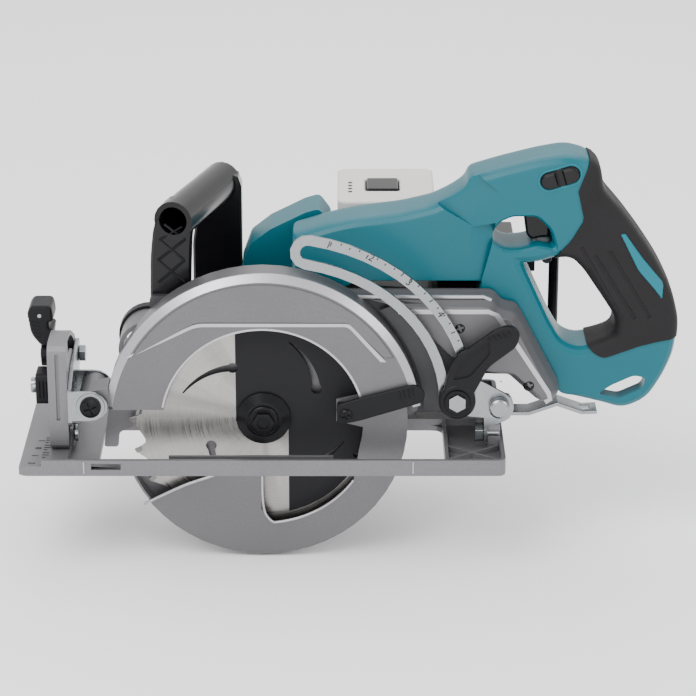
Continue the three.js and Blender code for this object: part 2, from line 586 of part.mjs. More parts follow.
function motorPieces() {
  const { x, z, shaft, pinion, far } = motor;
  add('motor_shaft', join(crossBar(x, z, shaft, 17, far - 2, 20),
    toothedWheel(x, z, { radius: pinion, width: gear.width + 1, near: gear.near - 0.5, teeth: 9,
        depth: 1.4 }, 1)),
  finishes.steel);
  add('rotor', ring(x, z, shaft + gap, statorInner - rotor.airGap, stator.near + 1,
      stator.near + stator.length - 1, 20),
    finishes.blackOxide);
  add('stator', ring(x, z, statorInner, statorOuter, stator.near, stator.near + stator.length, 24),
    finishes.copper);
  const blades = Array.from({ length: 7 }, (_, i) =>
    box(7, fanRadius, -1, 1, -0.8, rotor.fanWidth - 2).rotate([0, 0, i * 360 / 7]).rotate([90, 0, 0])
      .translate([x, rotor.fanNear + rotor.fanWidth - 2, z]));
  add('cooling_fan', join(ring(x, z, shaft + gap, fanRadius, rotor.fanNear + rotor.fanWidth - 2,
    rotor.fanNear + rotor.fanWidth, 24),
  ring(x, z, shaft + gap, 9, rotor.fanNear, rotor.fanNear + rotor.fanWidth - 1, 20), ...blades),
      finishes.black);
  add('motor_bearing_front', ring(x, z, shaft + gap, 10, gearCase.far + gap, gearCase.far + 6, 24),
      finishes.steel);
  add('motor_bearing_rear', ring(x, z, shaft + gap, 9, far - 8, far - 2, 24), finishes.steel);
}

function gearHousing() {
  const { near, far } = gearCase;
  const top = gearTop;
  const side = outline([[-40, 44], [-27, 12], [-10, 3.5], [12, 3.5], [34, 12], [50, 24], [aft(26), 28],
    [aft(26), 62], [aft(12), top - 4], [60, top], [-16, top], [-46, 104], [-46, 60]], 5);
  const body = slab(side, near, far);
  const lug = slab(outline([[-30, 92], [-52, 98], [-77, 98], [-77, top], [-20, top]], 3), near,
      frontBar.near - gap);
  const boss = crossBar(0, arborHeight, guard.hubInner - gap, 5.6, near + 1, 32);
  const wing = slab(outline([...arborArc(caseOuter + 2.5, 2, 44, 9), [aft(-14), top - 2], [aft(12),
      top - 4],
    [aft(26), 64], [aft(26), 29]]), cover.near + 3, near + 1);
  const chamber = join(crossBar(0, arborHeight, gear.radius + 1.2, 18.5, far + 1, 24),
    crossBar(motor.x, motor.z, 12, 16, far + 1, 20));
  const tools = [
    chamber,
    crossBar(0, arborHeight, 14.5 + gap, near + 0.7, 19, 20),
    crossBar(0, arborHeight, spindleShaft.radius + 1, 0, near + 1, 20),
    crossBar(clampX, depthClamp.z, depthClamp.bolt + 1, -5, cover.near + 4),
    crossBar(lockPin.x, lockPin.z, lockPin.radius + gap, far - 6, far + 1),
    slab(outline([[-34, 66], [-10, 84], [40, 100], [90, 100], [96, 60], [60, 34], [42, 40], [30, 74]], 6),
      near + 4, far + 1),
  ];
  add('gear_housing', cut(join(body, lug, boss, wing), ...tools), finishes.darkCast);
  const lidShape = outline([[-38, 46], [-25, 14], [-10, 6], [12, 6], [32, 14], [44, 44], [30, 74],
      [-20, 78]], 4);
  const lid = slab(lidShape, far + gap, far + gap + bearingPlate.thickness);
  add('bearing_plate', cut(lid, crossBar(0, arborHeight, 13 + gap, far - 1, far + 6, 20),
    crossBar(motor.x, motor.z, 10 + gap, far - 1, far + 6, 20)), finishes.cast);
}

// ---------------------------------------------------------------- body

function housingCover() {
  const { near, far } = cover;
  const edge = [...arborArc(caseOuter + 2.5, 45, 54, 2), [68, above(-15)], [aft(49), above(-15), 4],
    [aft(55), above(-23), 2], [aft(64), above(-24), 4], [aft(96), 50, 4], [aft(94), 40, 6], [aft(81),
        39, 5],
    [aft(61), 58, 4], [aft(47), 58, 2], [aft(27.5), 66, 2], [aft(13), gearTop - 2, 2]];
  const band = outline(edge, 0);
  const body = slab(band, near, far, { chamfer: 2 });
  const behind = slab(outline([[40, 20], [aft(26.6), 20], [aft(26.6), 66], [aft(12.6), gearTop + gap],
    [40, gearTop + gap]]), near + 2.6, far + 1);
  add('housing_cover', cut(body, behind), finishes.cast);
}

const grip = {
  outer: [[227, 199], [228, 188], [233, 179], [244, 166], [258, 147], [272, 125], [281, 106], [285, 97],
    [286, 84], [285, 70]],
  lower: [[266, 66], [234, 54], [220, 70]],
  inner: [[231, 73], [240, 77], [243, 84], [241, 93], [234, 103], [225, 118], [214, 132], [208, 135]],
  border: [[207, 147], [217, 161], [212, 182], [219, 196]],
  upperNeck: [[202, 156], [202, 186], [222, 186], [224, 152]],
  lowerNeck: [[240, 48], [240, 74], [264, 84], [266, 52]],
};

// The handle's points are set from the blade case's rear and the full-depth arbor.
const behindCase = (points) => points.map(([x, z, r]) => [x - nominalCase + caseOuter, z, r]);

function insetLoop(points, distance) {
  return points.map((point, i) => {
    const before = points[(i + points.length - 1) % points.length];
    const after = points[(i + 1) % points.length];
    const along = new THREE.Vector2(after[0] - before[0], after[1] - before[1]).normalize();
    return [point[0] + along.y * distance, point[1] - along.x * distance];
  });
}

const gripLoop = () => behindCase([...grip.outer, ...grip.lower, ...grip.inner, ...grip.border]);

function bodyOutline() {
  return outline([
    [motor.x - 22, gearTop + gap], [motor.x - 16, 134], [26, 150], [46, 157], [63, above(27)],
    ...behindCase([[94, 166], [115, 171], [128, 177], [138, 184], [138, 191, 2], [161, 198], [188,
        205], [207, 208],
      [222, 203], [227, 198], [228, 188], [233, 179], [244, 166], [258, 147], [272, 125], [281, 106],
          [285, 97],
      [286, 84], [284, 64], [276, 49, 6], [267, 30, 5], [248, 22, 6], [235, 27, 3], [219, 31], [203, 28],
      [195, 23, 4], [182, 20], [144, 20, 6], [134.6, 30]]),
    [aft(26.6), 66], [aft(12.6), gearTop + gap],
  ], 1.5);
}

const dOpening = () => outline(behindCase([[177, 124], [179, 130, 4], [192, 130], [204, 135, 6], [213,
    135, 5],
  [227, 119], [236, 105], [244, 93, 4], [246, 82, 4], [238, 73, 4], [222, 68.5, 4], [208, 72, 5],
      [198, 86]]), 2);
const triggerOpening = () => outline(behindCase([[153, 147, 4], [157, 155, 4], [166, 161, 3], [176,
    163, 1],
  [198, 163, 1], [198, 143, 1], [184, 141], [166, 141, 4]]), 2);
const tetherSlot = () => outline(behindCase([[234, 35], [262, 41], [257, 48], [240, 43]]), 2);
const lockOff = { x: 201, z: 192, length: 28, height: 13, tilt: 17 };
const lockShape = (spare) => stadium(lockOff.x - nominalCase + caseOuter, lockOff.z,
    lockOff.length + 2 * spare,
  lockOff.height + 2 * spare, lockOff.tilt);

function housingHalf(name, gripName, side) {
  const { half, split, wall } = handle;
  const middle = handleMiddle;
  const inward = middle + side * split;
  const outward = middle + side * half;
  const span = (a, b) => [Math.min(a, b), Math.max(a, b)];
  const through = [middle - half - 10, middle + half + 10];
  const whole = slab(bodyOutline(), ...span(outward, inward));
  const loop = gripLoop();
  const gripZone = slab(outline(insetLoop(loop, -gap)), ...through);
  const necks = [grip.upperNeck, grip.lowerNeck].map(behindCase);
  const coreSpan = span(outward - side * (handle.grip + gap), inward);
  const core = join(slab(outline(insetLoop(loop, handle.grip + gap)), ...coreSpan),
    ...necks.map((neck) => slab(outline(neck), ...coreSpan)));
  const switchBay = slab(outline(behindCase([[150, 152], [176, 164], [178, 141], [199, 141], [222, 170],
    [208, 198], [184, 196], [150, 176]]), 2), ...span(outward - side * wall, middle - side));
  const boardBay = slab(outline([[18, 122], [aft(18), 122], [aft(22), 160], [24, 143]], 2),
    ...span(outward - side * wall, middle - side));
  const lowerBay = slab(outline(behindCase([[142, 30], [150, 26], [184, 28], [194, 36], [166, 78],
      [142, 90]]), 2),
    ...span(outward - side * wall, middle - side));
  const openings = [dOpening(), triggerOpening(), tetherSlot(),
      lockShape(0.5)].map((shape) => slab(shape, ...through));
  const shell = cut(whole, gripZone, switchBay, boardBay, lowerBay);
  add(name, cut(join(shell, cut(core, switchBay)), ...openings), finishes.teal);
  const skin = slab(outline(loop), ...span(outward, inward));
  const seatSpan = span(outward - side * handle.grip, middle - side);
  const seat = join(slab(outline(insetLoop(loop, handle.grip)), ...seatSpan),
    ...necks.map((neck) => slab(outline(insetLoop(neck, -gap)), ...seatSpan)));
  add(gripName, cut(skin, seat, slab(lockShape(0.5), ...through)), finishes.rubber);
}

function motorHousing() {
  const { x, z, can, wall, near, far } = motor;
  const top = handleFar + gap;
  const duct = outline([[x - 24, z], [x - 24, 114], [x - 18, 131, 2], [x - 4, 142], [x + 20, 154],
      [x + 30, 157, 3],
    [x + 38, 146, 2], [x + 38, z]], 1);
  const low = outline([[x - 24, z], [x - 24, 98], [x + 38, 98], [x + 38, z]], 2);
  const body = join(crossBar(x, z, can, near, far, 40), slab(duct, top, 97), slab(low, near, top + 1));
  const hollow = [crossBar(x, z, can - wall, near + 4.3, far + 1, 40),
    crossBar(x, z, 11, near - 1, near + 5, 20),
    slab(outline([[x - 20, z + 20], [x - 20, 112], [x + 24, 148], [x + 34, 142], [x + 34, z + 20]],
        2), top + 3, 94)];
  add('motor_housing', cut(body, ...hollow), finishes.teal);
  const cap = cut(turned(x, z, [[0, far + gap], [can, far + gap], [can, far + 8], [can - 5, far + 14],
      [0, far + 14]]),
    crossBar(x, z, can - wall - 2, far - 1, far + 11, 24),
    ...[-18, -9, 0, 9, 18].map((dx) => box(x + dx - 2, x + dx + 2, far, far + 16, z - 14, z + 14)));
  add('motor_cap', cap, finishes.black);
}

function frontHandle() {
  const { outer, bore, near, far, legDepth } = frontBar;
  const start = new THREE.Vector3(-59.5, near, 164.5);
  const end = new THREE.Vector3(-31, far, 162);
  const direction = end.clone().sub(start);
  const rod = (radius, from, to) => {
    const geometry = new THREE.CylinderGeometry(radius, radius, to - from, 20);
    geometry.translate(0, (from + to) / 2, 0);
    geometry.applyQuaternion(new THREE.Quaternion().setFromUnitVectors(
      new THREE.Vector3(0, 1, 0), direction.clone().normalize()));
    geometry.translate(...start.toArray());
    return toSolid(geometry);
  };
  const length = direction.length();
  const tube = rod(outer, -2, length);
  const nearLeg = slab(outline([[-77, 99], [-50, 99], [-49, 126], [-48, 148], [-46, 162, 8], [-50,
      176, 9],
    [-63, 178, 9], [-73, 164, 8], [-76, 140, 8]], 3), near, near + legDepth, { chamfer: 1.5 });
  const farLeg = slab(outline([[-46, 46], [motor.x - motor.can - 1.5, 46], [motor.x - motor.can - 1.5,
      78],
    [motor.x - 24, 90], [-17, 110], [-17, 170, 9], [-44, 173, 9], [-52, 120], [-52, 70]], 3),
  far - legDepth + 3, far + 3, { chamfer: 1.5 });
  const trim = cut(join(tube, nearLeg, farLeg), rod(bore, -10, length - 6));
  add('front_handle', trim, finishes.black);
}

function batteryPieces() {
  const { x, y, length, thickness, width, bottom } = battery;
  const front = x - thickness / 2;
  const rear = x + thickness / 2 - gap;
  const mount = batteryMount;
  const block = box(front, rear, y - width / 2, y + width / 2, bottom, bottom + length);
  const rails = [-1, 1].map((side) => box(rear - 1, rear + 4, y + side * 26 - 4, y + side * 26 + 4,
      bottom + 20,
    bottom + length - 20));
  const edges = [-1, 1].flatMap((sy) => [-1, 1].map((sx) => box(-7, 7, -7, 7, bottom - 1,
      bottom + length + 1)
    .rotate([0, 0, 45]).translate([x + sx * thickness / 2 + sx * 3, y + sy * (width / 2 + 3), 0])));
  const latchBay = box(front + 20, front + 44, y - 14, y + 14, bottom + length - 10, bottom + length + 1);
  add('battery_pack', cut(join(cut(block, ...edges), ...rails), latchBay), finishes.pale);
  add('battery_latch', box(front + 21, front + 43, y - 13, y + 13, bottom + length - 5.4,
      bottom + length + 1),
    finishes.black);
  const grooves = [-1, 1].map((side) => box(rear - 2, rear + 5, y + side * 26 - 5, y + side * 26 + 5,
    bottom + 19, mount.top + 1));
  const body = box(mount.front - 0.8, mount.rear, handleFar + 2 * gap, mount.far, mount.bottom,
      mount.top);
  add('battery_mount', cut(body, ...grooves), finishes.black);
}

function hookPiece() {
  const { radius, y, reach, top, bottom, pivotX: post } = hookRod;
  const bar = (x0, x1, z) => longBar(y, z, radius, x0, x1, 10);
  const upright = (x, z0, z1, r = radius) => {
    const geometry = new THREE.CylinderGeometry(r, r, z1 - z0, 10);
    geometry.rotateX(Math.PI / 2);
    geometry.translate(x, y, (z0 + z1) / 2);
    return toSolid(geometry);
  };
  const corner = (x, z) => {
    const geometry = new THREE.SphereGeometry(radius, 10, 6);
    geometry.translate(x, y, z);
    return toSolid(geometry);
  };
  add('hook', join(upright(post, bottom - 6, top + 6), bar(post, reach, top), bar(post, reach, bottom),
    upright(reach, bottom, top), corner(reach, top), corner(reach, bottom)), finishes.blackOxide);
  const block = (z) => cut(box(batteryMount.rear + gap, post + 7, y - 8, y + 8, z - 5, z + 5),
    upright(post, z - 6, z + 6, radius + gap));
  add('hook_seat_upper', block(top - 12), finishes.black);
  add('hook_seat_lower', block(bottom + 12), finishes.black);
}

function tetherBracket() {
  const [near, far] = [handleMiddle - 12, handleMiddle + 4];
  const bent = behindCase([[160, 18.2], [184, 18.2], [204, 25.5], [222, 19], [232, 19.5], [232, 16.8],
    [221, 16.4], [203.8, 22.6], [184.6, 15.6], [160, 15.6]]);
  const eye = box(aft(112), aft(119), near + 5, far - 5, 10, 30);
  add('tether_bracket', cut(slab(outline(bent), near, far), eye), finishes.plated);
}

function controls() {
  const middle = handleMiddle;
  const bladeOfTrigger = slab(outline(behindCase([[177, 162, 1], [179, 154], [180, 146, 3], [184,
      143.5, 2],
    [194, 144, 2], [196, 162, 1]]), 1), middle - 9, middle + 9);
  add('trigger', bladeOfTrigger, finishes.black);
  add('lock_off_button', slab(lockShape(0), middle - handle.half - 1.5, middle + handle.half + 1.5,
      { chamfer: 1 }),
    finishes.black);
  add('switch_unit', box(aft(92), aft(101), middle - 11, middle + 11, 160, 180), finishes.black);
  add('control_board', box(32, aft(10), middle - 2, middle, 124, 142), finishes.board);
  add('shaft_lock', join(crossBar(lockPin.x, lockPin.z, lockPin.radius, gearCase.far - 1, 50),
    crossBar(lockPin.x, lockPin.z, 7, 46, 54)), finishes.black);
}

basePlate();
bevelQuadrant();
frontBracket();
bevelClampPieces();
bevelStop();
rearBracket();
tiltPins();
depthGuide();
depthClampPieces();
depthPivotBolt();
bladeCase();
lowerGuard();
guardLever();
bladePlate();
arborPieces();
motorPieces();
gearHousing();
housingCover();
housingHalf('left_housing', 'left_grip', -1);
housingHalf('right_housing', 'right_grip', 1);
motorHousing();
frontHandle();
batteryPieces();
hookPiece();
tetherBracket();
controls();

export default group;
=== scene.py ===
"""Looks of a cordless rear-handle circular saw, laid out as an add-on and run as a script."""

import json
import math

import bpy
from bpy.props import FloatProperty, FloatVectorProperty, IntProperty, PointerProperty
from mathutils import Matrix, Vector
from mathutils.kdtree import KDTree


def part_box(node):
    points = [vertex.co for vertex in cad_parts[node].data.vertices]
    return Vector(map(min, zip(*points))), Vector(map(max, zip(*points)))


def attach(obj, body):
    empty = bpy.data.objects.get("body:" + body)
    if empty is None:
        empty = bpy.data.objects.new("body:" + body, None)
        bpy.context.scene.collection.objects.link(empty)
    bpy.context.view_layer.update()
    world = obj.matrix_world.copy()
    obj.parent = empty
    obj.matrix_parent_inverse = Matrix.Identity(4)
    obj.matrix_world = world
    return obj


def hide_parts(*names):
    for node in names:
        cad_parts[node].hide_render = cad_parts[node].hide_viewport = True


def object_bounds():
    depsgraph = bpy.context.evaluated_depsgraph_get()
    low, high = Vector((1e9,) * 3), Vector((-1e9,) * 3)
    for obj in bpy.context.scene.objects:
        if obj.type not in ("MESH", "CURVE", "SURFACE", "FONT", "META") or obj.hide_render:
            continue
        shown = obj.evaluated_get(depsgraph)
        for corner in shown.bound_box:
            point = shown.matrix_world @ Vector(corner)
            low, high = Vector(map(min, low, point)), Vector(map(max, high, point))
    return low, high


bl_info = {
    "name": "Circular Saw",
    "version": (1, 0, 0),
    "blender": (4, 5, 0),
    "location": "View3D > Sidebar > Saw",
    "description": "Builds the visible pieces of a cordless rear-handle circular saw round its packed frame",
    "category": "Add Mesh",
}

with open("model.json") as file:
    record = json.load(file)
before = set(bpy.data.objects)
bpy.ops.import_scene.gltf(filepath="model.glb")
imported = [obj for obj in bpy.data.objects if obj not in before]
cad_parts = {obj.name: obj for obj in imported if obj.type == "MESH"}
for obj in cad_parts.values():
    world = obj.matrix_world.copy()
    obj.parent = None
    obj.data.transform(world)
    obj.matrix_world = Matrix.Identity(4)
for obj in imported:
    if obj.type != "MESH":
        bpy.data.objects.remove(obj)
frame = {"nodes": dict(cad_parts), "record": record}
CAD_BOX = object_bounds()

MM = 0.001
BLADE_BOX = [Vector(corner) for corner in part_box("blade")]
CASE_BOX = [Vector(corner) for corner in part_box("blade_case")]
SOLE_BOX = [Vector(corner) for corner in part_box("base_plate")]
SMOOTH_ANGLE = math.radians(38)
FLOOR_GAP = 0.002
MARK_SIDES = 8
RING_STEPS = 128
BUTTON_TILT = 17
ARBOR = (BLADE_BOX[0] + BLADE_BOX[1]) / 2
SOLE_Z = SOLE_BOX[0].z
ARBOR_HEIGHT = (ARBOR.z - SOLE_Z) / MM
CASE_RADIUS = (CASE_BOX[1].z - ARBOR.z) / MM
BLADE_RADIUS = (BLADE_BOX[1].z - BLADE_BOX[0].z) / 2 / MM
CASE_NEAR = (CASE_BOX[0].y - ARBOR.y) / MM


# --- places


def at(x, y, z):
    """A point in millimetres behind the arbor, beyond the blade's plane and above the sole's underside."""
    return Vector((ARBOR.x + x * MM, ARBOR.y + y * MM, SOLE_Z + z * MM))


def side_view(depth):
    return lambda x, z: at(x, depth, z)


def cross_view(station):
    return lambda y, z: at(station, y, z)


def centre_of(node):
    """The middle of a CAD node in the side view."""
    low, high = span(node)
    return (low.x + high.x) / 2, (low.z + high.z) / 2


def spot(centre, radius, angle, depth):
    """A point about a centre in the side view, at an angle in radians."""
    return at(centre[0] + radius * math.cos(angle), depth, centre[1] + radius * math.sin(angle))


def span(node):
    """Lowest and highest corner of a CAD node in the millimetres that at() takes."""
    low, high = (Vector(corner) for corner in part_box(node))
    turn = [((p - ARBOR) / MM) for p in (low, high)]
    for corner, p in zip(turn, (low, high)):
        corner.z = (p.z - SOLE_Z) / MM
    return turn


# --- outlines


def offset(corners, distance):
    """Corners moved inward. A corner is (x, z, rounding, share). share scales the move of its next edge."""
    full = [(tuple(c) + (0.0, 1.0)[len(c) - 2:]) if len(c) < 4 else tuple(c) for c in corners]
    count = len(full)
    area = sum(full[i][0] * full[(i + 1) % count][1] - full[(i + 1) % count][0] * full[i][1]
        for i in range(count))
    turn = 1.0 if area > 0 else -1.0
    lines = []
    for i, (x, z, _, share) in enumerate(full):
        nx, nz = full[(i + 1) % count][:2]
        length = math.hypot(nx - x, nz - z)
        ux, uz = (nx - x) / length, (nz - z) / length
        move = distance * share * turn
        lines.append((x - uz * move, z + ux * move, ux, uz))
    moved = []
    for i, corner in enumerate(full):
        ax, az, aux, auz = lines[i - 1]
        bx, bz, bux, buz = lines[i]
        cross = aux * buz - auz * bux
        if abs(cross) < 0.05:
            moved.append((bx, bz, corner[2]))
            continue
        t = ((bx - ax) * buz - (bz - az) * bux) / cross
        moved.append((ax + aux * t, az + auz * t, corner[2]))
    return moved


def rounded(corners, inset=0.0, radius=0.0, steps=4):
    """A loop of points through corners, each rounded by its own radius or by the one given."""
    moved = offset(corners, inset)
    loop = []
    for i, (x, z, own) in enumerate(moved):
        here = Vector((x, z))
        back = Vector(moved[i - 1][:2]) - here
        ahead = Vector(moved[(i + 1) % len(moved)][:2]) - here
        reach = min(own or radius, back.length / 2.1, ahead.length / 2.1)
        if reach < 0.05:
            loop.append((x, z))
            continue
        start = here + back.normalized() * reach
        end = here + ahead.normalized() * reach
        for step in range(steps + 1):
            t = step / steps
            point = start * (1 - t) ** 2 + here * 2 * t * (1 - t) + end * t * t
            loop.append((point.x, point.y))
    return loop


def arc(radius, start, end, steps, centre=(0.0, None)):
    """Points about the arbor, or about another centre, between two angles in degrees."""
    cx, cz = centre[0], ARBOR_HEIGHT if centre[1] is None else centre[1]
    angles = [math.radians(start + (end - start) * i / steps) for i in range(steps + 1)]
    return [(cx + radius * math.cos(a), cz + radius * math.sin(a)) for a in angles]


def circle(x, z, radius, steps=32):
    return arc(radius, 0, 360 - 360 / steps, steps - 1, (x, z))


def stadium(x, z, length, height, tilt, inset=0.0):
    half = (length - height) / 2
    turn = math.radians(tilt)
    loop = []
    for side in (1, -1):
        cx, cz = x + side * half * math.cos(turn), z + side * half * math.sin(turn)
        start = tilt - 90 if side == 1 else tilt + 90
        loop += arc(height / 2 - inset, start, start + 180, 10, (cx, cz))
    return loop


# --- modelling


def only(piece):
    """Makes one piece the selected and active one."""
    bpy.ops.object.select_all(action="DESELECT")
    piece.select_set(True)
    bpy.context.view_layer.objects.active = piece


def edit(piece, select="SELECT"):
    only(piece)
    bpy.ops.object.mode_set(mode="EDIT")
    bpy.ops.mesh.select_mode(type="VERT")
    bpy.ops.mesh.select_all(action=select)


def leave():
    bpy.ops.object.mode_set(mode="OBJECT")


def outward(piece):
    """Merges doubles and points every face outwards."""
    edit(piece)
    bpy.ops.mesh.remove_doubles(threshold=1e-6)
    bpy.ops.mesh.dissolve_degenerate(threshold=1e-6)
    bpy.ops.mesh.select_all(action="SELECT")
    bpy.ops.mesh.normals_make_consistent(inside=False)
    leave()


def flat_loop(name, loop, place, fill="NGON"):
    """A circle primitive whose vertices are moved onto a loop."""
    bpy.ops.object.select_all(action="DESELECT")
    bpy.ops.mesh.primitive_circle_add(vertices=len(loop), radius=1, fill_type=fill, location=(0, 0, 0))
    piece = bpy.context.object
    piece.name = piece.data.name = name
    for vertex, point in zip(piece.data.vertices, loop):
        vertex.co = place(*point)
    return piece


def loft(name, sections, view=side_view):
    """A solid through equal loops, extruded from one to the next. A section is (loop, depth)."""
    piece = flat_loop(name, sections[0][0], view(sections[0][1]))
    for index, (loop, depth) in enumerate(sections[1:]):
        before, shift = sections[index]
        if index == 0:
            edit(piece)
        else:
            only(piece)
            bpy.ops.object.mode_set(mode="EDIT")
        bpy.ops.mesh.extrude_region_move(TRANSFORM_OT_translate={"value": (0, 0, 0)})
        leave()
        tree = KDTree(len(before))
        for i, point in enumerate(before):
            tree.insert(view(shift)(*point), i)
        tree.balance()
        for vertex in piece.data.vertices:
            if vertex.select:
                vertex.co = view(depth)(*loop[tree.find(vertex.co)[1]])
    outward(piece)
    return piece


def slab(name, loop, near, far, view=side_view):
    return loft(name, [(loop, near), (loop, far)], view)


def pillow(name, corners, near, far, edge, steps=3, view=side_view, inset=0.0, radius=0.0, curve=4):
    """A slab whose outline draws in round both faces, as a moulded edge does. edge is (width, depth)."""
    width, depth = edge
    sections = []
    for step in range(steps + 1):
        turn = math.pi / 2 * step / steps
        sections.append((inset + width * (1 - math.sin(turn)), near + depth * (1 - math.cos(turn))))
    sections += [(draw, near + far - place) for draw, place in reversed(sections)]
    return loft(name, [(rounded(corners, draw, radius, curve), place) for draw, place in sections], view)


def turned(name, profile, x=0.0, z=None, steps=64):
    """Spins a closed (radius, depth) profile about a crosswise axis through (x, z)."""
    height = ARBOR_HEIGHT if z is None else z
    piece = flat_loop(name, profile, lambda r, y: at(x + r, y, height), "NOTHING")
    edit(piece)
    bpy.ops.mesh.spin(steps=steps, angle=math.tau, center=at(x, 0, height), axis=(0, 1, 0))
    leave()
    outward(piece)
    return piece


def rod(name, start, end, radius, vertices=32):
    """A cylinder primitive between two points."""
    along = end - start
    turn = along.to_track_quat("Z", "Y").to_euler()
    bpy.ops.object.select_all(action="DESELECT")
    bpy.ops.mesh.primitive_cylinder_add(vertices=vertices, radius=radius * MM, depth=along.length,
        location=(start + end) / 2, rotation=turn)
    piece = bpy.context.object
    piece.name = piece.data.name = name
    bpy.ops.object.transform_apply(location=True, rotation=True, scale=True)
    return piece


def pipe(name, points, radius, vertices=8):
    """A rod that follows points, made from a curve."""
    curve = bpy.data.curves.new(name, "CURVE")
    curve.dimensions = "3D"
    curve.bevel_depth = radius * MM
    curve.bevel_resolution = vertices
    curve.use_fill_caps = True
    spline = curve.splines.new("NURBS")
    spline.points.add(len(points) - 1)
    spline.use_endpoint_u = True
    spline.order_u = 3
    spline.resolution_u = 8
    for knot, point in zip(spline.points, points):
        knot.co = (*point, 1)
    piece = bpy.data.objects.new(name, curve)
    bpy.context.collection.objects.link(piece)
    only(piece)
    bpy.ops.object.convert(target="MESH")
    outward(piece)
    return piece


def apply(piece, kind, **values):
    """Adds one modifier and applies it."""
    only(piece)
    modifier = piece.modifiers.new(kind.title(), kind)
    for name, value in values.items():
        setattr(modifier, name, value)
    bpy.ops.object.modifier_apply(modifier=modifier.name)


def cut(piece, *tools):
    for tool in tools:
        apply(piece, "BOOLEAN", operation="DIFFERENCE", object=tool, solver="EXACT")
        bpy.data.objects.remove(tool)
    return piece


def fuse(piece, *others):
    for other in others:
        apply(piece, "BOOLEAN", operation="UNION", object=other, solver="EXACT")
        bpy.data.objects.remove(other)
    return piece


def gather(piece, *others):
    """Joins separate bodies into one object."""
    only(piece)
    for other in others:
        other.select_set(True)
    bpy.ops.object.join()
    return piece


def soften(piece, width, segments=2, angle=30):
    """Rounds edges sharper than angle and shades the result smooth, with flat faces kept flat."""
    if width > 0:
        apply(piece, "BEVEL", width=width * MM, segments=segments, limit_method="ANGLE",
            angle_limit=math.radians(angle), use_clamp_overlap=True, miter_outer="MITER_ARC")
    only(piece)
    bpy.ops.object.shade_smooth_by_angle(angle=SMOOTH_ANGLE)
    apply(piece, "WEIGHTED_NORMAL", keep_sharp=True, weight=60)
    return piece


def half(piece, name, depth, keep_near):
    """A copy of a piece on one side of a plane across the saw."""
    part = bpy.data.objects.new(name, piece.data.copy())
    bpy.context.collection.objects.link(part)
    edit(part)
    bpy.ops.mesh.bisect(plane_co=at(0, depth, 0), plane_no=(0, 1, 0), use_fill=True, clear_outer=keep_near,
        clear_inner=not keep_near)
    leave()
    return part


def refined(node, width=0.5, segments=2, angle=30):
    """A merged copy of a CAD node with its edges rounded."""
    piece = bpy.data.objects.new(node + "_finished", frame["nodes"][node].data.copy())
    bpy.context.collection.objects.link(piece)
    edit(piece)
    bpy.ops.mesh.remove_doubles(threshold=2e-6)
    bpy.ops.mesh.dissolve_limited(angle_limit=math.radians(0.6))
    bpy.ops.mesh.select_all(action="SELECT")
    bpy.ops.mesh.customdata_custom_splitnormals_clear()
    leave()
    return soften(piece, width, segments, angle)


BODY_OF = {node: body for body, nodes in frame["record"]["behaviour"]["bodies"].items() for node in nodes}


def mount(piece, body, finish, *nodes):
    """Gives a piece its finish, lets it ride on a body and lets it stand for CAD nodes."""
    piece.data.materials.clear()
    piece.data.materials.append(finish_of(finish))
    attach(piece, body)
    if nodes:
        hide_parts(*nodes)
    return piece


def mount_refined(node, finish, width=0.5, segments=2, angle=30):
    return mount(refined(node, width, segments, angle), BODY_OF[node], finish, node)


# --- finishes


def noise_of(tree, scale, detail=3.0, roughness=0.55, vector=None):
    grain = tree.nodes.new("ShaderNodeTexNoise")
    grain.inputs["Scale"].default_value = scale
    grain.inputs["Detail"].default_value = detail
    grain.inputs["Roughness"].default_value = roughness
    source = vector or tree.nodes.new("ShaderNodeTexCoord").outputs["Object"]
    tree.links.new(source, grain.inputs["Vector"])
    return grain.outputs["Fac"]


def between(tree, factor, low, high, start=0.3, end=0.7):
    """Maps a factor from start..end to low..high."""
    made = tree.nodes.new("ShaderNodeMapRange")
    for name, value in (("From Min", start), ("From Max", end), ("To Min", low), ("To Max", high)):
        made.inputs[name].default_value = value
    tree.links.new(factor, made.inputs["Value"])
    return made.outputs["Result"]


def blend_color(tree, factor, first, second):
    """Mixes two colours, either of which may be a socket."""
    made = tree.nodes.new("ShaderNodeMix")
    made.data_type = "RGBA"
    tree.links.new(factor, made.inputs["Factor"])
    for slot, value in ((6, first), (7, second)):
        if isinstance(value, bpy.types.NodeSocket):
            tree.links.new(value, made.inputs[slot])
        else:
            made.inputs[slot].default_value = (*value[:3], 1)
    return made.outputs[2]


def sums(tree, kind, first, second=None, third=None):
    """One Math node. Its terms are sockets or numbers."""
    made = tree.nodes.new("ShaderNodeMath")
    made.operation = kind
    for slot, value in enumerate((first, second, third)):
        if value is None:
            continue
        if isinstance(value, bpy.types.NodeSocket):
            tree.links.new(value, made.inputs[slot])
        else:
            made.inputs[slot].default_value = value
    return made.outputs[0]


def tinted(color, factor):
    return tuple(min(1.0, channel * factor) for channel in color[:3])


def start_surface(name, roughness, metallic, specular=0.5):
    material = bpy.data.materials.new(name)
    material.use_nodes = True
    shader = material.node_tree.nodes["Principled BSDF"]
    shader.inputs["Roughness"].default_value = roughness
    shader.inputs["Metallic"].default_value = metallic
    shader.inputs["Specular IOR Level"].default_value = specular
    return material, material.node_tree, shader


def add_bump(tree, shader, height, strength, distance):
    bump = tree.nodes.new("ShaderNodeBump")
    bump.inputs["Strength"].default_value = strength
    bump.inputs["Distance"].default_value = distance
    tree.links.new(height, bump.inputs["Height"])
    if shader.inputs["Normal"].is_linked:
        tree.links.new(shader.inputs["Normal"].links[0].from_socket, bump.inputs["Normal"])
    tree.links.new(bump.outputs["Normal"], shader.inputs["Normal"])


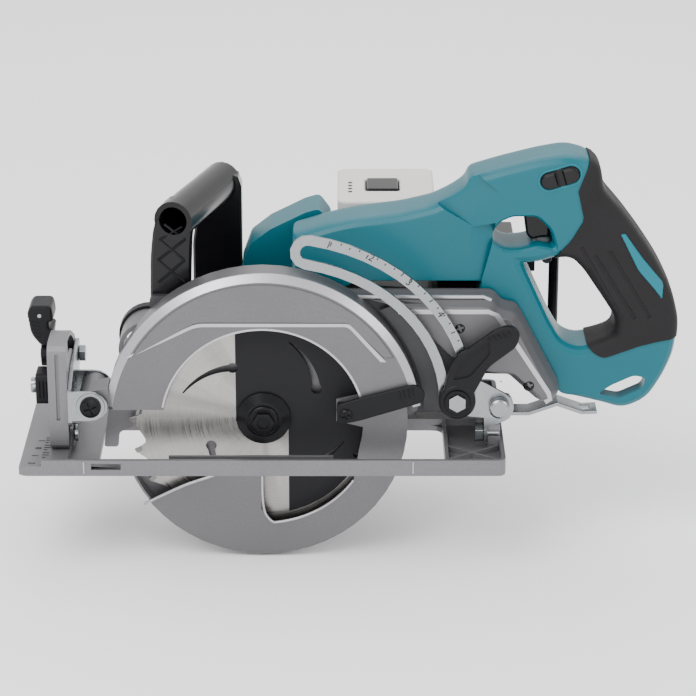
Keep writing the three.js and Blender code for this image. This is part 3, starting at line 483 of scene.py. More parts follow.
def grained(name, color, roughness, metallic, fleck, grain, smudge=(25, 0.06), specular=0.5):
    """A moulded, cast or plated surface: flecks of colour, a grain in relief and duller patches."""
    material, tree, shader = start_surface(name, roughness, metallic, specular)
    flecks = noise_of(tree, fleck[0], 2)
    patches = noise_of(tree, smudge[0], 4)
    light = blend_color(tree, between(tree, flecks, 0, 1), tinted(color, 1 - fleck[1]),
        tinted(color, 1 + fleck[1]))
    shade = blend_color(tree, between(tree, patches, 0, 0.5), light, tinted(color, 0.88))
    tree.links.new(shade, shader.inputs["Base Color"])
    gloss = between(tree, patches, max(0.03, roughness - smudge[1]), roughness + smudge[1])
    tree.links.new(gloss, shader.inputs["Roughness"])
    add_bump(tree, shader, noise_of(tree, grain[0], 2), grain[1], 0.0002)
    return material


def rubbery(name, color):
    """A soft overmould with a pebbled skin."""
    material, tree, shader = start_surface(name, 0.62, 0.0, specular=0.18)
    pebbles = tree.nodes.new("ShaderNodeTexVoronoi")
    pebbles.inputs["Scale"].default_value = 1100
    tree.links.new(tree.nodes.new("ShaderNodeTexCoord").outputs["Object"], pebbles.inputs["Vector"])
    patches = noise_of(tree, 30, 4)
    shade = blend_color(tree, between(tree, patches, 0, 1), tinted(color, 0.8), tinted(color, 1.25))
    tree.links.new(shade, shader.inputs["Base Color"])
    tree.links.new(between(tree, patches, 0.52, 0.72), shader.inputs["Roughness"])
    add_bump(tree, shader, pebbles.outputs["Distance"], 0.45, 0.0003)
    return material


def about_arbor(tree):
    """Distance from the arbor in millimetres, the angle about it, and the place behind and above it."""
    place = tree.nodes.new("ShaderNodeTexCoord").outputs["Object"]
    split = tree.nodes.new("ShaderNodeSeparateXYZ")
    tree.links.new(place, split.inputs[0])
    behind = sums(tree, "MULTIPLY", sums(tree, "SUBTRACT", split.outputs["X"], ARBOR.x), 1000.0)
    over = sums(tree, "MULTIPLY", sums(tree, "SUBTRACT", split.outputs["Z"], ARBOR.z), 1000.0)
    square = sums(tree, "ADD", sums(tree, "MULTIPLY", behind, behind), sums(tree, "MULTIPLY", over, over))
    return sums(tree, "SQRT", square), sums(tree, "ARCTAN2", over, behind), behind, over


def ring_marks(tree, distance, angle, fineness, sweep):
    """Noise drawn out round the arbor, as grinding leaves it; stretched along the radius it gives sectors of
    painted reflection.
    """
    joined = tree.nodes.new("ShaderNodeCombineXYZ")
    tree.links.new(sums(tree, "MULTIPLY", distance, fineness), joined.inputs["X"])
    tree.links.new(sums(tree, "MULTIPLY", angle, sweep), joined.inputs["Y"])
    return noise_of(tree, 1.0, 3, vector=joined.outputs[0])


def ground_steel(name, color, printed=None):
    """Steel ground in rings about the arbor, with darker sectors of painted reflection round it and a
    printed black field where one is given.
    """
    material, tree, shader = start_surface(name, 0.3, 1.0, specular=0.15)
    distance, angle, behind, over = about_arbor(tree)
    marks = ring_marks(tree, distance, angle, 1.6, 1.5)
    # Painted reflection: sectors round the arbor darkened to half colour, standing in for the changing sheen
    # of ground steel.
    painted_reflection_sectors = ring_marks(tree, distance, angle, 0.004, 2.2)
    steel = blend_color(tree, between(tree, marks, 0, 1), tinted(color, 0.86), tinted(color, 1.1))
    steel = blend_color(tree, between(tree, painted_reflection_sectors, 0, 0.55, 0.42, 0.62), steel, tinted(color, 0.5))
    gloss = between(tree, marks, 0.24, 0.4)
    if printed:
        field = printed(tree, distance, angle, behind, over)
        steel = blend_color(tree, field, steel, (0.012, 0.012, 0.014))
        gloss = sums(tree, "ADD", gloss, sums(tree, "MULTIPLY", field, 0.22))
        tree.links.new(sums(tree, "SUBTRACT", 1.0, field), shader.inputs["Metallic"])
    tree.links.new(steel, shader.inputs["Base Color"])
    tree.links.new(gloss, shader.inputs["Roughness"])
    add_bump(tree, shader, marks, 0.12, 0.0001)
    return material


def blade_print(tree, distance, angle, behind, over):
    """1 inside the blade's printed field, which keeps behind a straight edge and within the gullets."""
    inside = sums(tree, "LESS_THAN", distance, BLADE_RADIUS - 20)
    past = sums(tree, "GREATER_THAN", behind, -19.0)
    high = sums(tree, "GREATER_THAN", over, -3.0)
    low_right = sums(tree, "GREATER_THAN", behind, 17.0)
    tall = sums(tree, "MAXIMUM", high, low_right)
    return sums(tree, "MULTIPLY", sums(tree, "MULTIPLY", inside, past), tall)


# Colour, share of it, roughness, metallic, fleck, grain, smudge and specular.
GRAINED = {
    "cast": ("casting", 1, 0.42, 0.55, (1700, 0.14), (1900, 0.3), (14, 0.05)),
    "cast_case": ("casting", 0.8, 0.42, 0.55, (1700, 0.16), (1900, 0.3), (14, 0.05)),
    "cast_cover": ("casting", 0.72, 0.45, 0.5, (1700, 0.1), (1900, 0.25)),
    # Painted highlight: the casting at 2.7 times its colour, a lit copy worn by edges, rims, ridges and
    # beads that catch the light.
    "bright": ("casting", 2.7, 0.3, 0.7, (1500, 0.05), (1500, 0.1)),
    "dark_cast": ("dark_casting", 1, 0.5, 0.4, (1600, 0.15), (1500, 0.35)),
    "plated": ("plating", 1, 0.24, 1.0, (500, 0.06), (900, 0.08), (35, 0.09)),
    "carbide": ("steel", 0.55, 0.35, 0.9, (1500, 0.1), (1500, 0.1)),
    "oxide": ("oxide", 1, 0.3, 0.75, (900, 0.2), (1200, 0.15), (25, 0.06), 0.3),
    "teal": ("teal", 1, 0.36, 0.0, (2600, 0.05), (2600, 0.12), (12, 0.04), 0.3),
    # Painted highlight: the body's teal at 1.4 times its colour, a lit copy worn by the grip inserts and the
    # lock-off frames.
    "teal_edge": ("teal", 1.4, 0.3, 0.0, (2600, 0.05), (2600, 0.08), (25, 0.06), 0.3),
    "black": ("black", 1, 0.2, 0.0, (800, 0.15), (1400, 0.05), (30, 0.05), 0.25),
    "matt_black": ("black", 1.6, 0.42, 0.0, (900, 0.15), (1700, 0.3), (25, 0.06), 0.15),
    "ink": ((0.01, 0.01, 0.012), 1, 0.55, 0.0, (1500, 0.1), (1500, 0.05)),
    "pale": ("pale", 1, 0.45, 0.0, (900, 0.04), (1500, 0.1)),
    "copper": ((0.5, 0.2, 0.08), 1, 0.35, 0.9, (600, 0.2), (500, 0.6)),
    "board": ((0.02, 0.15, 0.07), 1, 0.4, 0.0, (300, 0.3), (500, 0.2)),
}
MADE = {}


def finish_of(name):
    """The material of a finish, made when it is first asked for."""
    if name in MADE:
        return MADE[name]
    colors = bpy.context.scene.saw_finishes
    if name == "rubber":
        MADE[name] = rubbery(name, colors.rubber)
    elif name in GRAINED:
        source, share, *skin = GRAINED[name]
        color = getattr(colors, source) if isinstance(source, str) else source
        MADE[name] = grained(name, tinted(color, share), *skin)
    else:
        MADE[name] = ground_steel(name, colors.steel, blade_print if name == "blade" else None)
    return MADE[name]


def color_setting(name, description, default):
    return FloatVectorProperty(name=name, description=description, subtype="COLOR", min=0, max=1,
        default=default)


class SawFinishes(bpy.types.PropertyGroup):
    """Colours of the saw's finishes."""

    casting: color_setting("Casting", "Cast magnesium of the sole, case and guard", (0.165, 0.162, 0.172))
    dark_casting: color_setting("Gear case", "Dark casting of the gear case", (0.045, 0.045, 0.05))
    plating: color_setting("Plating", "Zinc plating of brackets and bolts", (0.29, 0.305, 0.32))
    steel: color_setting("Steel", "Ground steel of the blade and shafts", (0.36, 0.352, 0.34))
    oxide: color_setting("Black oxide", "Blackened steel of the flange and hook", (0.012, 0.012, 0.014))
    teal: color_setting("Body", "Moulded body and handle", (0.0, 0.1, 0.133))
    black: color_setting("Black plastic", "Front handle, levers and battery mount", (0.005, 0.005, 0.006))
    rubber: color_setting("Rubber", "Soft skin of the rear grip", (0.012, 0.011, 0.012))
    pale: color_setting("Battery", "Case of the battery pack", (0.66, 0.64, 0.61))


class SawSizes(bpy.types.PropertyGroup):
    """Sizes of the details that the visible pieces add, in millimetres."""

    mould_edge: FloatProperty(name="Moulded edge", description="Width of the body's drawn-in edge", min=2,
        max=9, default=6.0)
    cast_edge: FloatProperty(name="Cast edge", description="Rounding of cast edges", min=0.2, max=1.5,
        default=0.8)
    # The case rim's chamfer wears the painted highlight finish, a lit copy of the casting.
    case_rim: FloatProperty(name="Case rim", description="Width of the blade case's bright chamfer", min=2,
        max=8, default=5.0)
    teeth: IntProperty(name="Teeth", description="Teeth of the blade", min=12, max=60, default=24)
    scale_marks: IntProperty(name="Scale marks", description="Lines on the depth guide", min=5, max=40,
        default=23)
    grip_grooves: IntProperty(name="Grip grooves", description="Grooves in the rear grip", min=0, max=6,
        default=3)


class SawStage(bpy.types.PropertyGroup):
    """Camera and lights."""

    lens: FloatProperty(name="Lens", description="Camera lens in millimetres", min=20, max=300,
        default=144.3)
    key: FloatProperty(name="Key light", description="Power of the large light", unit="POWER", min=0,
        default=42.0)
    fill: FloatProperty(name="Fill light", description="Power of the side lights", unit="POWER", min=0,
        default=11.0)
    sky: FloatProperty(name="Surroundings", description="Brightness of the room", min=0, max=5, default=1.3)


# --- stage


def make_stage(stage):
    """A camera on the near side, a pale floor and soft studio lights."""
    bpy.ops.object.select_all(action="DESELECT")
    aside, target_height, away, height = 57.95, 77.7, -1773.8, 758.6
    target = at(aside, 0, target_height)
    place = at(aside, away, height)
    turn = (target - place).to_track_quat("-Z", "Y").to_euler()
    bpy.ops.object.camera_add(location=place, rotation=turn)
    camera = bpy.context.object
    camera.data.lens = stage.lens
    camera.data.sensor_width = 36
    bpy.context.scene.camera = camera

    bpy.ops.mesh.primitive_plane_add(size=30, location=(0, 0, CAD_BOX[0].z - FLOOR_GAP))
    floor = bpy.context.object
    floor.name = "floor"
    material, _, shader = start_surface("floor", 0.9, 0.0, specular=0.1)
    shader.inputs["Base Color"].default_value = (0.97, 0.97, 0.97, 1)
    floor.data.materials.append(material)

    for where, size, power, name in (((-0.9, -1.1, 1.9), 1.5, stage.key, "key"),
            ((1.6, -0.9, 1.1), 1.0, stage.fill, "right_fill"),
            ((0.2, 1.3, 1.8), 1.6, stage.fill * 1.5, "back_fill"),
            ((0.0, -2.2, 0.35), 0.9, stage.fill * 0.8, "front_fill"),):
        aim = Vector((0.05, 0, 0.08)) - Vector(where)
        bpy.ops.object.light_add(type="AREA", location=where,
            rotation=aim.to_track_quat("-Z", "Y").to_euler())
        light = bpy.context.object
        light.name = name
        light.data.size = size
        light.data.energy = power
    world = bpy.context.scene.world or bpy.data.worlds.new("Room")
    bpy.context.scene.world = world
    world.use_nodes = True
    sky = world.node_tree.nodes["Background"]
    sky.inputs["Color"].default_value = (1, 1, 1, 1)
    sky.inputs["Strength"].default_value = stage.sky


# --- sole


def make_sole(sizes):
    mount_refined("base_plate", "cast", sizes.cast_edge)
    low, _ = span("base_plate")
    # The two upright seam lines wear the painted highlight finish, a lit copy of the casting.
    seam = [rod("seam", at(place, low.y - 0.1, 2), at(place, low.y - 0.1, 10.5), 0.55, MARK_SIDES)
        for place in (-121, 102)]
    mount(gather(*seam), "base", "bright")
    mount_refined("bevel_quadrant", "cast", 1.4, 3)
    front = span("bevel_quadrant")[0].x - 0.05
    hinge = centre_of("bevel_pin_front")[1]
    outer, long_mark, short_mark, tilt_step = 56, 50.5, 53.0, 5
    marks = []
    for index in range(10):
        angle = math.radians(tilt_step + index * tilt_step)
        inner = long_mark if index % 3 == 0 else short_mark
        ends = [at(front, radius * math.sin(angle), hinge + radius * math.cos(angle))
            for radius in (inner, outer)]
        marks.append(rod("tilt_mark", *ends, 0.4, MARK_SIDES))
    mount(gather(*marks), "base", "ink")
    rim_top, pitch, mark_pitch = 7.1, 13, 4
    figures = []
    for index, text in enumerate("2101"):
        figures.append(figure(text, at(-157 + index, low.y + 6 + index * pitch, rim_top), 6.5, (0, 0, -90)))
        for step in range(3):
            y = low.y + 3 + index * pitch + step * mark_pitch
            end = at(-146.5 - (step == 0) * 2, y, rim_top)
            figures.append(rod("edge_mark", at(-151, y, rim_top), end, 0.28, 6))
    mount(gather(*figures), "base", "ink")
    mount_refined("bevel_stop", "matt_black", 1.6, 3)
    near = span("bevel_stop")[0].y - 0.15
    ridges = [rod("stop_ridge", at(x, near, 36), at(x, near, 48), 0.6, MARK_SIDES)
        for x in (-155, -152.5, -150)]
    mount(gather(*ridges), "bevel_stop", "matt_black")
    mount_refined("bevel_stop_bolt", "plated", 0.5)


def figure(text, place, height, turn):
    """A generic scale number, raised a little."""
    bpy.ops.object.select_all(action="DESELECT")
    bpy.ops.object.text_add(location=place, rotation=tuple(math.radians(v) for v in turn))
    letter = bpy.context.object
    letter.data.body = text
    letter.data.size = height * MM
    letter.data.extrude = 0.12 * MM
    letter.data.align_x = "CENTER"
    letter.data.align_y = "CENTER"
    bpy.ops.object.convert(target="MESH")
    piece = bpy.context.object
    bpy.ops.object.transform_apply(location=True, rotation=True, scale=True)
    outward(piece)
    return piece


def cross_head(x, z, near, radius):
    """A cross-recess screw head that faces the near side."""
    profile = [(0, near), (radius * 0.72, near), (radius, near + 0.9), (radius, near + 2.2),
        (0, near + 2.2)]
    head = turned("screw_head", profile, x, z, 40)
    reach, width = radius * 0.62, 0.75
    arms = []
    for angle in (20, 110):
        a = math.radians(angle)
        loop = []
        for along, across in ((-1, -1), (-1, 1), (1, 1), (1, -1)):
            loop.append((
                x + along * reach * math.cos(a) + across * width * math.sin(a),
                z + along * reach * math.sin(a) - across * width * math.cos(a),
            ))
        arms.append(slab("arm", loop, near - 1, near + 1.3))
    return cut(head, *arms)


def make_tilting_frame(sizes):
    mount_refined("front_bracket", "plated", 0.5)
    mount_refined("rear_bracket", "plated", 0.5)
    for node in ("bevel_bolt", "bevel_pin_front", "bevel_pin_rear"):
        mount_refined(node, "plated", 0.4)
    low, _ = span("depth_pivot_bolt")
    x, z = centre_of("depth_pivot_bolt")
    mount_refined("depth_pivot_bolt", "oxide", 0.4)
    mount(soften(cross_head(x, z, low.y - 1.2, 7.2), 0.3), "tilt_frame", "oxide")
    washer = turned("pivot_washer", [(7.4, low.y + 1.6), (9.6, low.y + 1.6), (9.9, low.y + 2.2),
        (7.4, low.y + 2.2)], x, z)
    mount(soften(washer, 0), "tilt_frame", "plated")
    low, high = span("guide_pin")
    x, z = centre_of("guide_pin")
    head = turned("guide_pin_head", [(0, low.y - 0.4), (5.4, low.y - 0.4), (6.9, low.y + 0.8),
        (7.1, low.y + 6.6), (4, low.y + 6.8), (4, high.y), (0, high.y)], x, z, 56)
    mount(soften(head, 0.3), "tilt_frame", "plated", "guide_pin")

    low, high = span("bevel_lever")
    y, front = (low.y + high.y) / 2, low.x
    half_width = 12.2
    paddle = pillow("bevel_paddle", [(front - 1.4, high.z - 4, 4), (front + 2, high.z + 1, 2),
        (high.x - 1.2, high.z + 1, 3), (high.x, high.z - 6, 2), (high.x, high.z - 10, 1),
        (high.x - 3, high.z - 11.5, 1), (high.x - 2.6, high.z - 15.5, 1), (high.x, high.z - 17, 1),
        (high.x - 1.5, low.z + 19, 2), (front + 8, low.z + 18, 3), (front + 1, low.z + 27, 4)],
        y - half_width, y + half_width, (2.2, 2.6), 3)
    stem = pillow("stem", [(y - 5, low.z + 8, 2), (y + 5, low.z + 8, 2), (y + 5, low.z + 30, 2),
        (y - 5, low.z + 30, 2)], front + 8, front + 15, (1, 1), 2, cross_view)
    hub = rod("hub", at(front + 7, y, low.z + 9), at(high.x, y, low.z + 9), 9, 40)
    grooves = [rod("groove", at(front - 0.3, y - 13, low.z + 27 + step * 2.7),
        at(front - 0.3, y + 13, low.z + 27 + step * 2.7), 0.8, 10) for step in range(6)]
    side = [rod("side_groove", at(front - 2, y - 12.5, low.z + 24 + step * 2.7),
        at(front + 8, y - 12.5, low.z + 22 + step * 2.7), 0.8, 10) for step in range(6)]
    lever = soften(cut(fuse(paddle, stem, hub), *grooves, *side), 0.25)
    mount(lever, "bevel_lever", "matt_black", "bevel_lever")
    rivet_x, rivet_z = front + 7.5, high.z - 6
    rivet = rod("rivet", at(rivet_x, y - 12.5, rivet_z), at(rivet_x, y - 11, rivet_z), 1.5, 24)
    mount(soften(rivet, 0.3), "bevel_lever", "plated")


# --- depth guide


def make_depth_guide(sizes):
    guide = mount_refined("depth_guide", "plated", 0.45, 2, 40)
    face = span("depth_guide")[0].y - 0.12
    centre = (-8.0, 27.0)
    inset, long_mark, short_mark = 1.2, 4.2, 2.6
    first_angle, swept, number_lead = 10, 57, 1.5
    marks = []
    for index in range(sizes.scale_marks):
        angle = math.radians(first_angle + index * swept / (sizes.scale_marks - 1))
        outer = guide_edge(guide, centre, angle)
        reach = long_mark if index % 4 == 2 else short_mark
        ends = [spot(centre, outer - depth, angle, face) for depth in (inset, reach)]
        marks.append(rod("scale_mark", *ends, 0.38, MARK_SIDES))
    for number, angle in zip("12345", (66, 54, 42, 30, 18)):
        a = math.radians(angle + number_lead)
        place = spot(centre, guide_edge(guide, centre, a) - 3.6, a, face)
        marks.append(figure(number, place, 7.4, (90, -(angle - 90) * 0.9, 0)))
    mount(gather(*marks), "guide", "ink")

    low, _ = span("depth_bolt")
    x, z = centre_of("depth_bolt")
    mount_refined("depth_bolt", "plated", 0.5)
    disc = turned("bolt_washer", [(4.6, low.y + 1.9), (8.6, low.y + 1.9), (8.9, low.y + 2.3),
        (8.9, low.y + 3.0), (4.6, low.y + 3.0)], x, z)
    mount(soften(disc, 0), "body", "oxide")
    mount_refined("depth_washer", "oxide", 0.3)

    low, high = span("depth_lever")
    near, far = low.y, high.y
    arm = pillow("depth_arm", [(x - 10, z + 5, 4), (x - 4, z + 30, 6), (x + 27, z + 53.5, 4),
        (x + 37, z + 55, 4), (x + 42, z + 50, 3), (x + 40, z + 40, 4), (x + 21, z + 25, 4),
        (x + 11, z + 5, 3)], near + 0.2, far, (1.2, 1.2), 3)
    hub = turned("depth_hub", [(4.6, near - 0.3), (11.2, near - 0.3), (12.6, near + 0.9), (12.6, far),
        (4.6, far)], x, z)
    ribs = [rod("finger_rib", at(x + 20 + step * 3.4, near - 0.1, z + 47.2 + step * 0.9),
        at(x + 22 + step * 3.4, near - 0.1, z + 44.2 + step * 0.9), 0.6, 10) for step in range(5)]
    hollow = pillow("hollow", [(x - 3, z + 16, 2), (x + 1, z + 28, 3), (x + 21, z + 44, 2),
        (x + 22, z + 35, 3), (x + 8, z + 18, 3)], near - 1, near + 1.6, (0.5, 0.5), 2)
    lever = soften(fuse(cut(arm, hollow), hub), 0.3)
    mount(gather(lever, *ribs), "depth_lever", "matt_black", "depth_lever")


def guide_edge(guide, centre, angle):
    """How far the guide reaches from a centre at an angle, in millimetres."""
    best = 0
    for vertex in guide.data.vertices:
        x = (vertex.co.x - ARBOR.x) / MM - centre[0]
        z = (vertex.co.z - SOLE_Z) / MM - centre[1]
        if abs(math.atan2(z, x) - angle) < 0.07:
            best = max(best, math.hypot(x, z))
    return best or 120.0


# --- case and guard


def make_blade_case(sizes):
    near = CASE_NEAR
    inner = CASE_RADIUS - sizes.case_rim
    foot = ARBOR_HEIGHT + 13
    mount_refined("blade_case", "cast_case", 0.5, 2, 25)
    # The rim chamfer, the ridge band and the window edge wear the painted highlight finish, a lit copy of
    # the casting.
    rim = turned("case_rim", [(inner, near - 0.15), (CASE_RADIUS + 0.1, near + 3.4),
        (CASE_RADIUS + 0.1, near + 5), (inner, near + 0.6)], steps=RING_STEPS)
    mount(soften(keep_above(rim, foot), 0), "body", "bright")

    border = [*arc(inner - 1.2, 151, 29, 30), (82, 76), (58, 101, 3), (-44, 101.5, 5)]
    panel = loft("case_panel", [(rounded(border, 0.6), near - 0.9), (rounded(border), near - 0.1),
        (rounded(border), near + 0.4)])
    mount(soften(panel, 0), "body", "cast_case")
    band = rounded([(84, 73), (59, 100.8, 3), (-45, 100.8, 5), (-94, 76), (-90, 76.2), (-44.5, 98.4, 5),
        (58, 98.4, 3), (80, 73)])
    mount(soften(slab("case_ridge", band, near - 0.5, near + 0.4), 0.2), "body", "bright")
    edge = turned("case_window_edge", [(68.2, near + 1.4), (68.9, near - 0.35), (70.2, near - 0.35),
        (70.6, near + 0.5)], steps=RING_STEPS)
    mount(soften(keep_above(edge, foot), 0), "body", "bright")
    mount_refined("chip_port_ring", "matt_black", 0.6, 2)


def keep_above(piece, height):
    """Cuts a piece off level, and caps it."""
    edit(piece)
    bpy.ops.mesh.bisect(plane_co=at(0, 0, height), plane_no=(0, 0, 1), use_fill=True, clear_inner=True)
    leave()
    return piece


def make_lower_guard(sizes):
    mount_refined("lower_guard", "cast_case", 0.55, 2, 28)
    low, _ = span("lower_guard")
    # The beads along the guard's lip wear the painted highlight finish, a lit copy of the casting.
    lip = [(-1, -10), (-2, -38), *arc(75.4, 274, 325, 16)]
    beads = [pipe("guard_bead", [at(x, low.y, z) for x, z in lip], 0.9, 4)]
    front = [(-34, -12.5), (-44, -16), (-58, -21), (-83, -34)]
    beads.append(pipe("guard_lip", [at(x, low.y, z) for x, z in front], 1.0, 4))
    mount(gather(*beads), "guard", "bright")
    low, high = span("guard_lever")
    bar = pillow("guard_bar", [(51, 28.5, 2), (50, 43, 3), (66, 48.2, 3), (104, 58.5, 4), (110.5, 53, 5),
        (109, 45, 4), (66, 31.5, 4)], low.y - 0.2, low.y + 2.8, (1.0, 1.0), 3)
    foot = slab("lever_foot", rounded([(50.5, 29.5), (62, 31.5), (62, 42.5), (50.5, 42.5)], 0, 1.5),
        low.y + 2, high.y)
    grip = [rod("thumb_rib", at(94 + step * 3, low.y - 0.2, 47 + step * 0.8),
        at(92.6 + step * 3, low.y - 0.2, 53.5 + step * 0.8), 0.6, 8) for step in range(4)]
    mount(soften(gather(bar, foot, *grip), 0.2), "guard", "matt_black", "guard_lever")
    low, _ = span("guard_lever_screw")
    screw = soften(cross_head(*centre_of("guard_lever_screw"), low.y - 0.6, 4.3), 0.2)
    mount(screw, "guard", "oxide", "guard_lever_screw")


# --- blade


def make_blade(sizes):
    low, high = span("blade")
    near, far = low.y, high.y
    pitch = 360 / sizes.teeth
    tooth_form = ((0.0, 0.0), (2.2, 0.16), (5.5, 0.36), (8.2, 0.62), (9.2, 0.76), (8.6, 0.88), (5.5, 0.95))
    corners = [(depth, (tooth + share) * pitch) for tooth in range(sizes.teeth)
        for depth, share in tooth_form]
    angles = [angle for _, angle in corners]
    edge = [polar(BLADE_RADIUS - depth, angle) for depth, angle in corners]
    rings = [[polar(radius, angle) for angle in angles] for radius in (6, 34, 56, BLADE_RADIUS - 14)]
    faces = [(ring, near + 0.25) for ring in [*rings, edge]]
    faces += [(ring, far - 0.25) for ring in [edge, *reversed(rings)]]
    disc = loft("blade_disc", faces)
    tools = []
    for angle in (162, 72, -18, -108):
        path = [polar(58 - 16 * t, angle - 42 * t) for t in [i / 12 for i in range(13)]]
        tools.append(ribbon("slot", path, 1.0, near - 1, far + 1, 5.4))
        x, z = path[-1]
        tools.append(slab("slot_end", circle(x, z, 3.7, 24), near - 1, far + 1))
    for angle in (165, 75, 345, 255):
        path = [polar(BLADE_RADIUS - 6 - 17 * t, angle - 9 * t * t) for t in [i / 6 for i in range(7)]]
        tools.append(ribbon("relief", path, 0.8, near - 1, far + 1))
        x, z = polar(BLADE_RADIUS - 23, angle - 9)
        tools.append(slab("relief_end", circle(x, z, 1.9, 20), near - 1, far + 1))
    blade = cut(disc, *tools)
    only(blade)
    bpy.ops.object.shade_flat()
    mount(blade, "drive", "blade", "blade")
    tips = []
    for tooth in range(sizes.teeth):
        start = tooth * pitch
        tip = [polar(BLADE_RADIUS, start), polar(BLADE_RADIUS - 0.9, start + pitch * 0.13),
            polar(BLADE_RADIUS - 5.2, start + pitch * 0.09),
            polar(BLADE_RADIUS - 5.2, start - pitch * 0.03)]
        tips.append(slab("tip", tip, near, far))
    mount(soften(gather(*tips), 0.12), "drive", "carbide")


def polar(radius, degrees):
    a = math.radians(degrees)
    return radius * math.cos(a), ARBOR_HEIGHT + radius * math.sin(a)


def ribbon(name, path, width, near, far, end_width=None):
    """A band along a path of points, of even width or widening to its end."""
    left, right = [], []
    for i, (x, z) in enumerate(path):
        ax, az = path[max(i - 1, 0)]
        bx, bz = path[min(i + 1, len(path) - 1)]
        length = math.hypot(bx - ax, bz - az)
        share = i / (len(path) - 1)
        reach = (width + ((end_width or width) - width) * share) / 2
        nx, nz = (az - bz) / length * reach, (bx - ax) / length * reach
        left.append((x + nx, z + nz))
        right.append((x - nx, z - nz))
    return slab(name, left + right[::-1], near, far)


def make_arbor(sizes):
    low, high = span("outer_flange")
    radius = (high.z - low.z) / 2
    flange = turned("outer_flange_finished", [(8, high.y), (radius, high.y), (radius, high.y - 1.6),
        (radius - 1.6, high.y - 2.4), (radius - 5.2, low.y + 0.6), (radius - 6.2, low.y), (8, low.y)],
        steps=96)
    mount(soften(flange, 0.25), "drive", "oxide", "outer_flange")
    low, high = span("blade_bolt")
    washer = turned("bolt_skirt", [(0, low.y + 4.2), (9.6, low.y + 4.2), (10.5, low.y + 5),
        (10.5, low.y + 6), (0, low.y + 6)], steps=64)
    crown = slab("bolt_crown", circle(0, ARBOR_HEIGHT, 7.8, 6), low.y, low.y + 4.6)
    socket = turned("bolt_socket", [(0, low.y - 1), (4.2, low.y - 1), (4.2, low.y + 2), (0, low.y + 2)],
        steps=40)
    bolt = soften(cut(fuse(crown, washer), socket), 0.4)
    mount(bolt, "drive", "oxide", "blade_bolt")
    for node in ("inner_flange", "spindle", "drive_gear"):
        mount_refined(node, "oxide" if node == "inner_flange" else "ground", 0.2)
    for node in ("spindle_bearing_outer", "spindle_bearing_inner", "motor_bearing_front",
            "motor_bearing_rear"):
        mount_refined(node, "ground", 0.3)


# --- gear case


def make_gear_case(sizes):
    mount_refined("gear_housing", "dark_cast", 1.2, 3)
    mount_refined("bearing_plate", "plated", 0.4)
    low, high = span("housing_cover")
    near = low.y
    top = high.z - 6
    outline = [(low.x - 12, top, 4), (157, top, 5), (163, 106, 4), (173, 104.5, 4), (high.x, 46, 4),
        (high.x, 38, 3), (199, 33.5, 3), (191, 32.5, 3), (187, 35, 3), (168, 53, 4), (154, 53, 4),
        (124, 66, 4), (104, 86, 6), (84, 103, 3)]
    sections = []
    for inset, depth in ((7.6, near - 0.3), (6.8, near - 0.1), (3.4, near + 6.4), (2.8, near + 7.6),
            (0.5, near + 15.5), (0.0, near + 16.6), (0.0, high.y)):
        sections.append((rounded(outline, inset, 3.0, 4), depth))
    cover = soften(loft("cover", sections), 0.35, 2, 14)
    mount(cover, "body", "cast_cover", "housing_cover")
    # The cover's edge rail and upper band wear the painted highlight finish, a lit copy of the casting on
    # its bevelled edges.
    rail = ribbon("cover_edge", [(92, 104), (153, 104), (159, 101.5), (195.5, 44.5), (196.5, 40),
        (193, 38)], 3.4, near - 0.55, near + 0.4)
    band = ribbon("cover_band", [(low.x - 4, top - 1.6), (150, top - 1.6), (155.5, top - 4)], 2.2,
        near + 6.0, near + 8)
    mount(soften(gather(rail, band), 0.25), "body", "bright")
    head = cross_head(182, 50, near - 0.6, 4.2)
    second = cross_head(134, 92, near - 0.6, 4.2)
    mount(soften(gather(head, second), 0.2), "body", "oxide")
    mount_refined("shaft_lock", "matt_black", 1.2, 3)


# --- housing and grip


def body_outline():
    """The housing and handle seen from the side, as corners with a rounding and a share of the inset."""
    return [(19, 113, 3, 0.3), (58, 113, 2, 0.3), (63, 117, 2, 0.3), (148, 117, 2, 0.3), (146, 95, 2, 0.3),
        (206, 34, 3, 0.3), (219, 30.5, 6), (235, 26.5, 8), (249, 22, 8), (266, 29.5, 10), (277, 48, 8),
        (284, 66, 8), (285.2, 88, 8), (280, 108, 8), (271, 127, 10), (258, 147, 10), (244, 166, 8),
        (231, 181, 5), (228, 198, 5), (219, 204.5, 8), (206, 208, 8), (188, 205, 8), (161, 198, 8),
        (140, 191.5, 4), (137, 184, 4), (128, 177.5, 5), (115, 171, 5), (94, 166, 6), (63, 162, 6),
        (46, 158, 4), (20, 150, 3)]


def d_opening():
    return [(178, 129.5, 3), (190, 130.5, 5), (201, 134.5, 5), (211, 134.5, 6), (220, 125, 5),
        (234, 104, 6), (243, 90, 6), (242, 77, 6), (231, 72.5, 6), (216, 69, 8), (205, 74, 6), (196, 90, 4)]


def trigger_opening():
    return [(156, 147, 4), (157.5, 154, 4), (162, 159.5, 4), (170, 163, 3), (186, 163, 4), (195, 154, 4),
        (198.5, 142, 5), (188, 144.5, 3), (176, 141.5, 3), (165, 141, 4)]


def whole_body(name, near, far, edge, grow, tighten):
    """Body and handle in one solid, grown by a distance, with both openings tightened."""
    sections = []
    for share, depth in ((1.0, 0.0), (0.8, 0.25), (0.38, 2.2), (0.13, 5.2), (0.03, 9.0), (0.0, 14.0)):
        sections.append((grow + share * edge, near + depth))
    sections += [(draw, near + far - depth) for draw, depth in reversed(sections)]
    body = loft(name, [(rounded(body_outline(), draw, 3.0, 4), depth) for draw, depth in sections])
    for tool_name, corners, widen in (("hand_opening", d_opening(), 6.0),
            ("trigger_opening", trigger_opening(), 2.6)):
        steps = [(-widen, near - 1), (-widen, near), (-widen * 0.45, near + 1.6),
            (-widen * 0.12, near + 4.6), (0, near + 9)]
        steps += [(draw, near + far - depth) for draw, depth in reversed(steps)]
        sections = [(rounded(corners, draw + tighten, 3.0, 4), depth) for draw, depth in steps]
        cut(body, loft(tool_name, sections))
    return body


